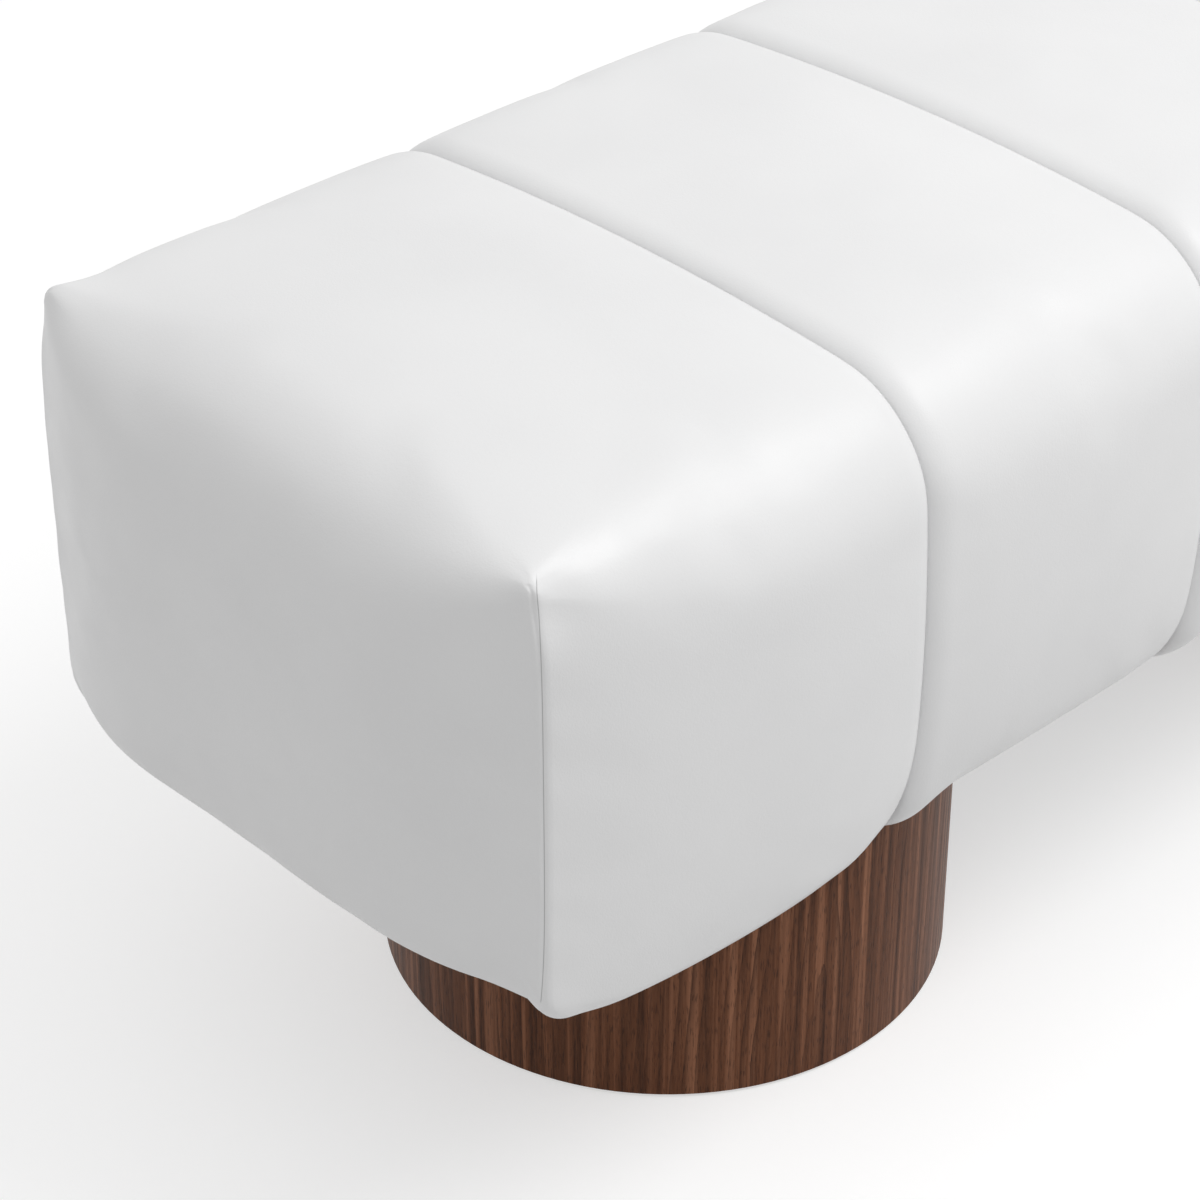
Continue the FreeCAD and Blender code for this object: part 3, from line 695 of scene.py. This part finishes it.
def channel(number):
    """One stuffed channel: a closed form, hollow over the frame, in place on the bench."""
    is_end = number in (1, CHANNEL_COUNT)
    name = f"channel_{number}_cushion"
    if is_end:
        skin = Skin(END_CHANNEL_LENGTH - CREASE_CLEARANCE, True)
        lines = end_lines(skin)
        faces = (end_face(skin, lines[0]), flat_wall(lines[-1]))
    else:
        skin = Skin(CHANNEL_PITCH - 2 * CREASE_CLEARANCE, False, crease_corners(number))
        lines = middle_lines(skin)
        faces = (flat_wall(lines[0]), flat_wall(lines[-1]))
    mesh, rows, grids = channel_mesh(lines, faces)
    crease_layer = mesh.edges.layers.float.new("crease_edge")
    for row in rows[-1:] if is_end else (rows[0], rows[-1]):
        for vertex, after in zip(row, row[1:] + row[:1]):
            mesh.edges.get((vertex, after))[crease_layer] = 1.0
    mesh.verts.index_update()
    start = -SEAM_HALF_LENGTH if is_end else RIB_XS[number - 2] + CREASE_CLEARANCE
    sewn = grids[0] if is_end else []
    seam = [vertex.index for row in sewn for vertex in (row[0], row[-1])]
    hold = np.zeros(len(mesh.verts))
    for vertex in mesh.verts:
        x = vertex.co.x
        to_crease = skin.length - x if is_end else min(x, skin.length - x)
        near = 1 - smooth(to_crease / CREASE_HOLD_REACH)
        low = 1 - smooth((vertex.co.z - BOTTOM_Z) / CREASE_HOLD_REACH)
        hold[vertex.index] = max(near, low)
    hold[seam] = 1
    piece = link(mesh, name)
    print(name, "swelled", round(puff_up(piece, hold) / MM, 2), "mm before the cap")
    subdivided(piece)
    points = coordinates(piece.data)
    points[:, 0] += start
    if number == CHANNEL_COUNT:
        points[:, 0] *= -1
        piece.data.flip_normals()
    set_coordinates(piece.data, points)
    if is_end:
        way = 1 if number == 1 else -1
        sew_corners(piece, skin, -way * SEAM_HALF_LENGTH, way, number)
    low, high = Vector(FRAME_LOW), Vector(FRAME_HIGH)
    for axis in range(3):
        low[axis] -= FRAME_CLEARANCE
        high[axis] += FRAME_CLEARANCE
    xs = coordinates(piece.data)[:, 0]
    wall = CREASE_CLEARANCE * 2
    if number > 1:
        low.x = max(low.x, xs.min() - wall)
    if number < CHANNEL_COUNT:
        high.x = min(high.x, xs.max() + wall)
    hollowed(piece, low, high)
    left, right = max(low.x, FRAME_LOW.x + COVER_WRAP), min(high.x, FRAME_HIGH.x - COVER_WRAP)
    gap_low = Vector((left, FRAME_LOW.y + COVER_WRAP, BOTTOM_Z - COVER_THICKNESS))
    gap_high = Vector((right, FRAME_HIGH.y - COVER_WRAP, FRAME_LOW.z + MM))
    hollowed(piece, gap_low, gap_high)
    shade(piece)
    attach(piece, "root")
    nodes = [f"channel_{number}_{layer}" for layer in ("cover", "wadding", "top_foam", "side_foam")]
    if is_end:
        nodes.append("left_end_foam" if number == 1 else "right_end_foam")
    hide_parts(*nodes)
    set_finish(piece, "leatherette")
    return piece


# Drums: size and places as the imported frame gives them, and their bolts
DRUM_RADIUS = (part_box("left_drum_veneer")[1].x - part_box("left_drum_veneer")[0].x) / 2
DRUM_XS = {
    "left": sum(corner.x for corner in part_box("left_drum_veneer")) / 2,
    "right": sum(corner.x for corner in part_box("right_drum_veneer")) / 2,
}
BOLT_CIRCLE_RADIUS = 0.100
BOLT_HOLE_SPACE = 0.009

# Cloth and felt
STRIP_EDGE_SPACE = 0.003
WELD_DISTANCE = 0.000001
DUST_COVER_STEP = 0.008
DUST_COVER_WAVE = 0.0002
DUST_COVER_WAVE_LENGTH = 0.11
DUST_COVER_SLANT_SHARES = (0.6, 0.3)
PAD_RINGS = 6
PAD_TURNS = 40
PAD_EDGE_ROUND = 0.0007
PAD_FUZZ = 0.00012


def pull_strip(number):
    """Strip of cloth in a crease, from the cover down to the frame."""
    x = RIB_XS[number - 1]
    low_corner = (CREASE_LOW_RADIUS, END_CHANNEL_CREASE_RISE)
    outer = body_section(0, 1, low_corner)[: LOW_BORDER + CORNER_LINES]
    mesh = bmesh.new()
    pairs = []
    for side in (-1, 1):
        for y, z in outer[::side]:
            angle = math.atan2(z - FRAME_LOW.z, y)
            inner_y = min(y, FRAME_HIGH.y + FRAME_CLEARANCE)
            inner_z = FRAME_HIGH.z + FRAME_CLEARANCE if y < FRAME_HIGH.y else min(z, FRAME_HIGH.z)
            tip_y = side * (y - STRIP_EDGE_SPACE * math.cos(angle))
            tip = (x, tip_y, z - STRIP_EDGE_SPACE * math.sin(angle))
            pairs.append((mesh.verts.new(tip), mesh.verts.new((x, side * inner_y, inner_z))))
    area = 0
    for (a, b), (c, d) in zip(pairs, pairs[1:]):
        if (a.co - c.co).length > WELD_DISTANCE:
            area += mesh.faces.new((a, b, d, c)).calc_area()
    bmesh.ops.remove_doubles(mesh, verts=mesh.verts, dist=WELD_DISTANCE)
    piece = link(mesh, f"pull_strip_{number}_cloth")
    width, height = np.ptp(coordinates(piece.data), axis=0)[1:]
    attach(piece, "root")
    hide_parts("pull_strips")
    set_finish(piece, "pull_cloth")
    return piece


def dust_cover():
    """Thin cloth tacked under the seat, with holes for the drums' bolts."""
    low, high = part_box("dust_cover")
    middle = (low.z + high.z) / 2
    count_x = round((high.x - low.x) / DUST_COVER_STEP)
    count_y = round((high.y - low.y) / DUST_COVER_STEP)
    slant_x, slant_y = DUST_COVER_SLANT_SHARES
    offsets = (-BOLT_CIRCLE_RADIUS / math.sqrt(2), BOLT_CIRCLE_RADIUS / math.sqrt(2))
    holes = [(drum_x + x, y) for drum_x, x, y in product(DRUM_XS.values(), offsets, offsets)]
    mesh = bmesh.new()
    grid = []
    for step in range(count_y + 1):
        y = between(low.y, high.y, step / count_y)
        grid.append([])
        for column in range(count_x + 1):
            x = between(low.x, high.x, column / count_x)
            wave = math.sin(2 * math.pi * (x + slant_x * y) / DUST_COVER_WAVE_LENGTH)
            wave *= math.sin(2 * math.pi * (y - slant_y * x) / DUST_COVER_WAVE_LENGTH)
            grid[-1].append(mesh.verts.new((x, y, middle + DUST_COVER_WAVE * wave)))
    for step in range(count_y):
        for column in range(count_x):
            corners = (grid[step][column], grid[step][column + 1])
            corners += (grid[step + 1][column + 1], grid[step + 1][column])
            centre = sum((vertex.co for vertex in corners), Vector()) / 4
            if min(math.hypot(centre.x - x, centre.y - y) for x, y in holes) > BOLT_HOLE_SPACE:
                mesh.faces.new(corners)
    piece = link(mesh, "dust_cover_cloth")
    piece.data.shade_smooth()
    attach(piece, "root")
    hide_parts("dust_cover")
    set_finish(piece, "dust_cloth")
    return piece


def felt_pads(side):
    """Four round felt pads under a drum, with soft edges and a slightly uneven face."""
    node = f"{side}_drum_felt_pads"
    low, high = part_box(node)
    generator = np.random.default_rng(len(side))
    points = coordinates(NODES[node].data)
    beside, behind = points[:, 0] > DRUM_XS[side], points[:, 1] > 0
    mesh = bmesh.new()
    for quarter in range(4):
        near = points[(beside == (quarter in (0, 3))) & (behind == (quarter < 2))]
        centre = (near.min(axis=0) + near.max(axis=0)) / 2
        radius = (near[:, 0].max() - near[:, 0].min()) / 2
        profile = [(radius * index / PAD_RINGS, low.z) for index in range(PAD_RINGS)]
        profile[-1] = (radius - PAD_EDGE_ROUND, low.z)
        profile += [(radius, low.z + PAD_EDGE_ROUND), (radius, high.z - PAD_EDGE_ROUND)]
        profile += [(radius - PAD_EDGE_ROUND, high.z), (radius / 2, high.z), (0, high.z)]
        rings = []
        for reach, z in profile:
            if reach == 0:
                rings.append([mesh.verts.new((centre[0], centre[1], z))])
                continue
            rings.append([])
            for turn in range(PAD_TURNS):
                angle = 2 * math.pi * turn / PAD_TURNS
                out = reach - PAD_FUZZ * generator.random()
                place = (centre[0] + out * math.cos(angle), centre[1] + out * math.sin(angle), z)
                rings[-1].append(mesh.verts.new(place))
        for inner, outer in zip(rings, rings[1:]):
            for turn in range(PAD_TURNS):
                after = (turn + 1) % PAD_TURNS
                corners = [inner[turn % len(inner)], inner[after % len(inner)]]
                corners += [outer[after % len(outer)], outer[turn % len(outer)]]
                mesh.faces.new(list(dict.fromkeys(corners)))
    bmesh.ops.recalc_face_normals(mesh, faces=mesh.faces)
    piece = link(mesh, f"{side}_felt_pads")
    shade(piece)
    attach(piece, "root")
    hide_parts(node)
    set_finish(piece, "felt")
    return piece


def add_node(tree, kind, inputs=None, **settings):
    """New shader node with its settings, input values and incoming links."""
    made = tree.nodes.new(kind)
    for key, value in settings.items():
        setattr(made, key, value)
    for key, value in (inputs or {}).items():
        if isinstance(value, bpy.types.NodeSocket):
            tree.links.new(value, made.inputs[key])
        else:
            made.inputs[key].default_value = value
    return made


class Material:
    """A procedural material, with short names for its usual nodes."""

    def __init__(self, name):
        self.material = bpy.data.materials.new(name)
        self.material.use_nodes = True
        self.tree = self.material.node_tree
        self.shader = self.tree.nodes["Principled BSDF"]
        self.place = add_node(self.tree, "ShaderNodeTexCoord").outputs["Object"]

    def axes(self, vector=None):
        """X, Y and Z of a vector, the place on the object unless another is given."""
        return add_node(self.tree, "ShaderNodeSeparateXYZ", {0: vector or self.place}).outputs

    def math(self, operation, *values):
        inputs = dict(enumerate(values))
        return add_node(self.tree, "ShaderNodeMath", inputs, operation=operation).outputs[0]

    def plus(self, first, second):
        return self.math("ADD", first, second)

    def minus(self, first, second):
        return self.math("SUBTRACT", first, second)

    def times(self, first, second):
        return self.math("MULTIPLY", first, second)

    def centred(self, share, reach):
        """A value from 0 to 1 spread round 0, over a whole reach."""
        return self.times(self.minus(share, 0.5), reach)

    def scaled(self, scale, place=None):
        inputs = {0: place or self.place, 1: scale}
        return add_node(self.tree, "ShaderNodeVectorMath", inputs, operation="MULTIPLY").outputs[0]

    def noise(self, scale, place=None, detail=3, roughness=0.5):
        """Noise from about 0 to 1, whose scale is in features a metre along each axis."""
        inputs = {"Vector": self.scaled(scale, place), "Scale": 1, "Detail": detail, "Roughness": roughness}
        return add_node(self.tree, "ShaderNodeTexNoise", inputs, noise_dimensions="3D").outputs["Fac"]

    def cells(self, scale):
        inputs = {"Vector": self.scaled(scale), "Scale": 1}
        return add_node(self.tree, "ShaderNodeTexVoronoi", inputs, feature="SMOOTH_F1").outputs["Distance"]

    def ramp(self, share, *stops):
        made = add_node(self.tree, "ShaderNodeValToRGB", {"Fac": share})
        elements = made.color_ramp.elements
        while len(elements) < len(stops):
            elements.new(1)
        for element, (position, colour) in zip(elements, stops):
            element.position = position
            element.color = (*colour, 1)
        return made.outputs["Color"]

    def level(self, share, low, high, start=0, end=1):
        inputs = {"Value": share, "From Min": start, "From Max": end, "To Min": low, "To Max": high}
        return add_node(self.tree, "ShaderNodeMapRange", inputs).outputs["Result"]

    def mix(self, share, first, second):
        made = add_node(self.tree, "ShaderNodeMix", data_type="RGBA")
        for key, value in ((0, share), (6, first), (7, second)):
            if isinstance(value, bpy.types.NodeSocket):
                self.tree.links.new(value, made.inputs[key])
            else:
                made.inputs[key].default_value = value if key == 0 else (*value, 1)
        return made.outputs[2]

    def finish(self, colour=None, roughness=None, heights=(), **values):
        """Links colour and roughness, and stacks bumps given as (height, metres)."""
        if colour is not None:
            self.tree.links.new(colour, self.shader.inputs["Base Color"])
        if roughness is not None:
            self.tree.links.new(roughness, self.shader.inputs["Roughness"])
        normal = None
        for height, distance in heights:
            inputs = {"Height": height, "Distance": distance, "Strength": 1}
            if normal is not None:
                inputs["Normal"] = normal
            normal = add_node(self.tree, "ShaderNodeBump", inputs).outputs["Normal"]
        if normal is not None:
            self.tree.links.new(normal, self.shader.inputs["Normal"])
        for key, value in values.items():
            self.shader.inputs[key.replace("_", " ")].default_value = value
        return self.material


# Leatherette: where the painted seam shade shows, its dark colour and the cover's colours, and depths of
# the bumps
SEAM_SHADE_DEPTHS = (-0.010, -0.006)
# Dark colour of the painted shade along the corner seams, standing in for the shade in the seam groove
SEAM_SHADE_COLOUR = (0.10, 0.10, 0.10)
WHITES = ((0.795, 0.795, 0.798), (0.825, 0.825, 0.827))
UNEVEN_DEPTH = 0.0006
COVER_GRAIN_DEPTH = 0.00004
PEBBLE_DEPTH = 0.00005


def seam_shade_mask(look):
    """1 along the four corner seams, where the diagonal plane of the corner meets the skin: the mask of the
    painted shade line there.
    """
    x, y, z = look.axes().values()
    power = float(SEAM_BEND_POWER)
    rise = look.math("DIVIDE", look.minus(z, SEAM_MIDDLE_Z), SEAM_HALF_RISE)
    bow = look.times(look.math("POWER", look.math("ABSOLUTE", rise), power), EAR_INSET)
    along = look.minus(look.math("ABSOLUTE", x), SEAM_HALF_LENGTH)
    across = look.minus(look.math("ABSOLUTE", y), SEAM_HALF_DEPTH + SEAM_BOW)
    high = look.math("POWER", look.math("MAXIMUM", rise, 0.0), power)
    back = look.minus(BACK_SEAM_SWELL, look.times(high, BACK_EAR_INSET))
    back = look.times(back, look.math("GREATER_THAN", y, 0.0))
    across = look.plus(across, look.minus(bow, back))
    off = look.math("ABSOLUTE", look.minus(along, across))
    near = look.level(look.math("MINIMUM", along, across), 0, 1, *SEAM_SHADE_DEPTHS)
    mask = look.times(look.level(off, 1, 0, 0, SEAM_SHADE_WIDTH), near)
    mask = look.times(mask, look.level(z, 0, 1, SEAM_LOW_Z - MM, SEAM_LOW_Z + MM))
    return look.times(mask, look.level(z, 1, 0, SEAM_HIGH_Z - MM, SEAM_HIGH_Z + MM))


def leatherette():
    """Smooth white coated cloth: fine pebbling, soft unevenness of the stuffing, satin gloss, and a painted
    shade line along the corner seams.
    """
    look = Material("leatherette")
    tone = look.noise((9, 9, 9), detail=2)
    colour = look.mix(look.level(tone, 0, 1, 0.3, 0.7), *WHITES)
    # Painted shade: a dark line along the corner seams stands in for the shade in the seam groove
    colour = look.mix(look.times(seam_shade_mask(look), 0.6), colour, SEAM_SHADE_COLOUR)
    smudge = look.noise((40, 40, 40), detail=4)
    roughness = look.level(smudge, 0.33, 0.43, 0.3, 0.7)
    pebble = look.cells((1100, 1100, 1100))
    grain = look.noise((420, 420, 420), detail=3)
    uneven = look.noise((14, 14, 14), detail=2)
    heights = ((uneven, UNEVEN_DEPTH), (grain, COVER_GRAIN_DEPTH), (pebble, PEBBLE_DEPTH))
    return look.finish(colour, roughness, heights, Specular_IOR_Level=0.36)


# Walnut: how the grain runs
LEAF_WIDTH = 0.171
RINGS_PER_METRE = 150.0
SWAY = 0.030
RIPPLE = 0.0060
HEART_PLACES = (-0.04, 0.06)
ARCH_ROUNDNESS = 0.00012
CLIMB_SHARES = (0.015, 0.04)
PORE_DEPTH = 0.00005
FIBRE_DEPTH = 0.00003

# Walnut: colours
STREAKS = ((0.35, (0.040, 0.013, 0.005)), (0.50, (0.138, 0.051, 0.023)), (0.65, (0.345, 0.155, 0.086)))
BROAD_BAND = (0.135, 0.050, 0.023)
LATE_WOOD = (0.026, 0.009, 0.005)
PALE_FIBRE = (0.235, 0.104, 0.056)
PORE = (0.014, 0.006, 0.004)


def walnut(name, drum_x, seed):
    """Walnut veneer with upright grain, laid in leaves round the drum; some leaves show arches."""
    look = Material(name)
    x, y, z = look.axes().values()
    around = look.math("ARCTAN2", look.minus(x, drum_x), look.times(y, -1.0))
    around = look.times(around, DRUM_RADIUS)
    leaf = look.math("FLOOR", look.math("DIVIDE", around, LEAF_WIDTH))
    inputs = {"W": look.plus(leaf, float(seed))}
    chance = add_node(look.tree, "ShaderNodeTexWhiteNoise", inputs, noise_dimensions="1D").outputs["Value"]
    local = look.minus(around, look.times(look.plus(leaf, 0.5), LEAF_WIDTH))
    flat = add_node(look.tree, "ShaderNodeCombineXYZ", {"X": around, "Y": z, "Z": chance}).outputs[0]
    sway = look.centred(look.noise((11, 3.0, 9), flat, 2), SWAY)
    ripple = look.centred(look.noise((60, 7, 9), flat, 3), RIPPLE)
    across = look.plus(look.minus(local, look.level(chance, *HEART_PLACES)), sway)
    arch = look.math("SQRT", look.plus(look.times(across, across), ARCH_ROUNDNESS))
    climb = look.times(z, look.level(chance, *CLIMB_SHARES))
    depth = look.plus(look.plus(arch, climb), ripple)
    rings = look.math("FRACT", look.times(depth, RINGS_PER_METRE))
    late = look.math("POWER", rings, 2.4)
    late = look.times(late, look.level(look.noise((55, 1.2, 5), flat, 2), 0.20, 1.0, 0.36, 0.58))
    streak = look.noise((165, 1.8, 5), flat, 3, 0.6)
    broad = look.noise((9, 0.8, 5), flat, 2)
    fibre = look.noise((900, 45, 9), flat, 3, 0.7)
    pores = look.level(look.noise((1500, 120, 9), flat, 1), 0, 1, 0.57, 0.68)
    base = look.ramp(streak, *STREAKS)
    base = look.mix(look.level(broad, 0, 0.30, 0.35, 0.75), base, BROAD_BAND)
    base = look.mix(look.times(late, 0.85), base, LATE_WOOD)
    base = look.mix(look.level(fibre, 0, 0.26, 0.35, 0.65), base, PALE_FIBRE)
    base = look.mix(look.times(pores, 0.50), base, PORE)
    roughness = look.level(late, 0.42, 0.52)
    heights = ((look.minus(1.0, pores), PORE_DEPTH), (fibre, FIBRE_DEPTH))
    return look.finish(base, roughness, heights, Specular_IOR_Level=0.11)


# Boards: height of a layer, and the light and dark colours of the grain
BOARDS = {
    "plywood": (0.003, (0.60, 0.46, 0.30), (0.46, 0.33, 0.20)),
    "bent_ply": (0.0015, (0.56, 0.42, 0.27), (0.42, 0.30, 0.18)),
}
BOARD_GRAIN_DEPTH = 0.00015


def layered_ply(name, layer_height, light, dark):
    """Plywood: long grain on its faces, and thin layers across its edges."""
    look = Material(name)
    grain = look.noise((6, 70, 70), detail=5, roughness=0.6)
    figure = look.noise((1.5, 16, 16), detail=3)
    face = look.mix(look.level(grain, 0, 1, 0.3, 0.7), light, dark)
    face = look.mix(look.level(figure, 0, 0.5, 0.35, 0.7), face, tuple(value * 1.12 for value in light))
    layers = look.math("FRACT", look.math("DIVIDE", look.axes()["Z"], layer_height))
    facing = add_node(look.tree, "ShaderNodeNewGeometry").outputs["Normal"]
    edge = look.minus(1.0, look.math("ABSOLUTE", look.axes(facing)["Z"]))
    band = look.times(look.level(layers, 0, 1, 0.45, 0.55), edge)
    face = look.mix(look.times(band, 0.45), face, tuple(value * 0.55 for value in dark))
    roughness = look.level(grain, 0.55, 0.72, 0.3, 0.7)
    return look.finish(face, roughness, ((grain, BOARD_GRAIN_DEPTH),), Specular_IOR_Level=0.3)


# Cloths: colour, thickness of a thread, depth of the weave, and how dark its gaps are
CLOTHS = {
    "felt": ((0.16, 0.12, 0.09), 0.0006, 0.0003, 0.6),
    "dust_cloth": ((0.035, 0.035, 0.035), 0.0008, 0.0001, 0.7),
    "pull_cloth": ((0.75, 0.74, 0.70), 0.0005, 0.0001, 0.9),
    "wadding": ((0.86, 0.86, 0.84), 0.002, 0.0008, 0.92),
    "foam": ((0.82, 0.78, 0.62), 0.0015, 0.0005, 0.85),
}


def cloth_look(name, colour, thread, depth, tone):
    """Matte cloth, felt or foam, with fibres or threads of a given size."""
    look = Material(name)
    fine = 1 / thread
    fibres = look.noise((fine, fine * 0.6, fine), detail=4, roughness=0.7)
    patches = look.noise((30, 30, 30), detail=3)
    dark = tuple(value * tone for value in colour)
    shown = look.mix(look.level(fibres, 0, 1, 0.3, 0.7), dark, colour)
    shown = look.mix(look.level(patches, 0, 0.4, 0.35, 0.7), shown, dark)
    roughness = look.level(fibres, 0.82, 0.95)
    return look.finish(shown, roughness, ((fibres, depth),), Specular_IOR_Level=0.2, Sheen_Weight=0.15)


# Zinc plated steel: its two tones, and the depth of the brushing
STEELS = ((0.50, 0.51, 0.52), (0.68, 0.68, 0.66))
BRUSH_DEPTH = 0.00002


def zinc_steel():
    """Zinc plated steel, brushed and a little mottled."""
    look = Material("zinc_steel")
    brushed = look.noise((900, 900, 60), detail=3)
    mottle = look.noise((260, 260, 260), detail=4)
    colour = look.mix(look.level(mottle, 0, 1, 0.3, 0.7), *STEELS)
    roughness = look.level(brushed, 0.26, 0.44, 0.3, 0.7)
    return look.finish(colour, roughness, ((brushed, BRUSH_DEPTH),), Metallic=1.0)


def dress(looks, pieces):
    """Gives each new piece and each node of the frame its material."""
    slots = {row["node"]: row["material_slot"] for row in frame["record"]["subparts"]}
    dressed = [(node, looks[name if name in looks else slots[name]]) for name, node in NODES.items()]
    dressed += [(piece, looks[piece["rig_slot"]]) for piece in pieces]
    for piece, look in dressed:
        piece.data.materials.clear()
        piece.data.materials.append(look)


# Camera, found from the photograph's perspective
CAMERA_PLACE = (-1.4353, -1.1489, 1.3023)
CAMERA_TILT = 56.068
CAMERA_TURN = -43.195
CAMERA_LENS = 105.64
CAMERA_SENSOR = 36.0
CAMERA_REACH = 100.0

# Floor and light
FLOOR_HALF = 9.0
FLOOR_COLOUR = (0.58, 0.58, 0.58, 1)
WHITE = (1, 1, 1, 1)
WORLD_STRENGTH = 0.675
FLOOR_GLOW = 0.52
TOP_LAMP = (1.5, (-0.1, -0.3, 3.2), 2.2)
FRONT_LAMP = (36.0, (0.83, -1.36, 2.66), 1.6)
LAMP_AIM = (0, 0, 0.3)


def camera():
    made = bpy.data.objects.new("camera", bpy.data.cameras.new("camera"))
    made.data.lens = CAMERA_LENS
    made.data.sensor_width = CAMERA_SENSOR
    made.data.clip_end = CAMERA_REACH
    made.location = CAMERA_PLACE
    made.rotation_euler = Euler((math.radians(CAMERA_TILT), 0, math.radians(CAMERA_TURN)))
    bpy.context.scene.collection.objects.link(made)
    bpy.context.scene.camera = made


def lamp(name, power, place, size):
    light = bpy.data.lights.new(name, "AREA")
    light.energy = power
    light.shape = "DISK"
    light.size = size
    made = bpy.data.objects.new(name, light)
    made.location = place
    made.rotation_euler = (Vector(LAMP_AIM) - Vector(place)).to_track_quat("-Z", "Y").to_euler()
    bpy.context.scene.collection.objects.link(made)


def seen_rays(tree):
    """1 where the camera, a reflection or a see-through surface looks straight at it."""
    rays = add_node(tree, "ShaderNodeLightPath").outputs
    seen = rays["Is Camera Ray"]
    for name in ("Is Glossy Ray", "Is Transmission Ray"):
        seen = add_node(tree, "ShaderNodeMath", {0: seen, 1: rays[name]}, operation="MAXIMUM").outputs[0]
    return seen


def surroundings():
    """Pale floor, plain light and a white background."""
    bpy.context.scene.view_settings.view_transform = "Standard"
    world = bpy.data.worlds.new("studio")
    bpy.context.scene.world = world
    world.use_nodes = True
    tree = world.node_tree
    inputs = {"Value": seen_rays(tree), "To Min": WORLD_STRENGTH, "To Max": 1.0}
    strength = add_node(tree, "ShaderNodeMapRange", inputs).outputs["Result"]
    background = tree.nodes["Background"].inputs
    tree.links.new(strength, background["Strength"])
    background["Color"].default_value = WHITE
    mesh = bmesh.new()
    corners = ((-1, -1), (1, -1), (1, 1), (-1, 1))
    mesh.faces.new([mesh.verts.new((x * FLOOR_HALF, y * FLOOR_HALF, 0)) for x, y in corners])
    floor = link(mesh, "floor")
    look = Material("floor")
    glow = look.times(seen_rays(look.tree), FLOOR_GLOW)
    look.tree.links.new(glow, look.shader.inputs["Emission Strength"])
    values = {"Base_Color": FLOOR_COLOUR, "Emission_Color": WHITE, "Specular_IOR_Level": 0.1}
    floor.data.materials.append(look.finish(Roughness=0.9, **values))
    lamp("top_lamp", *TOP_LAMP)
    lamp("front_lamp", *FRONT_LAMP)


cushions = [channel(number + 1) for number in range(CHANNEL_COUNT)]
strips = [pull_strip(number + 1) for number in range(CHANNEL_COUNT - 1)]
soft_pieces = cushions + strips + [dust_cover(), felt_pads("left"), felt_pads("right")]
dress(
    {
        "leatherette": leatherette(),
        "left_drum_veneer": walnut("walnut_left", DRUM_XS["left"], 3),
        "right_drum_veneer": walnut("walnut_right", DRUM_XS["right"], 11),
        "zinc_steel": zinc_steel(),
        **{name: layered_ply(name, *values) for name, values in BOARDS.items()},
        **{name: cloth_look(name, *values) for name, values in CLOTHS.items()},
    },
    soft_pieces,
)
camera()
surroundings()
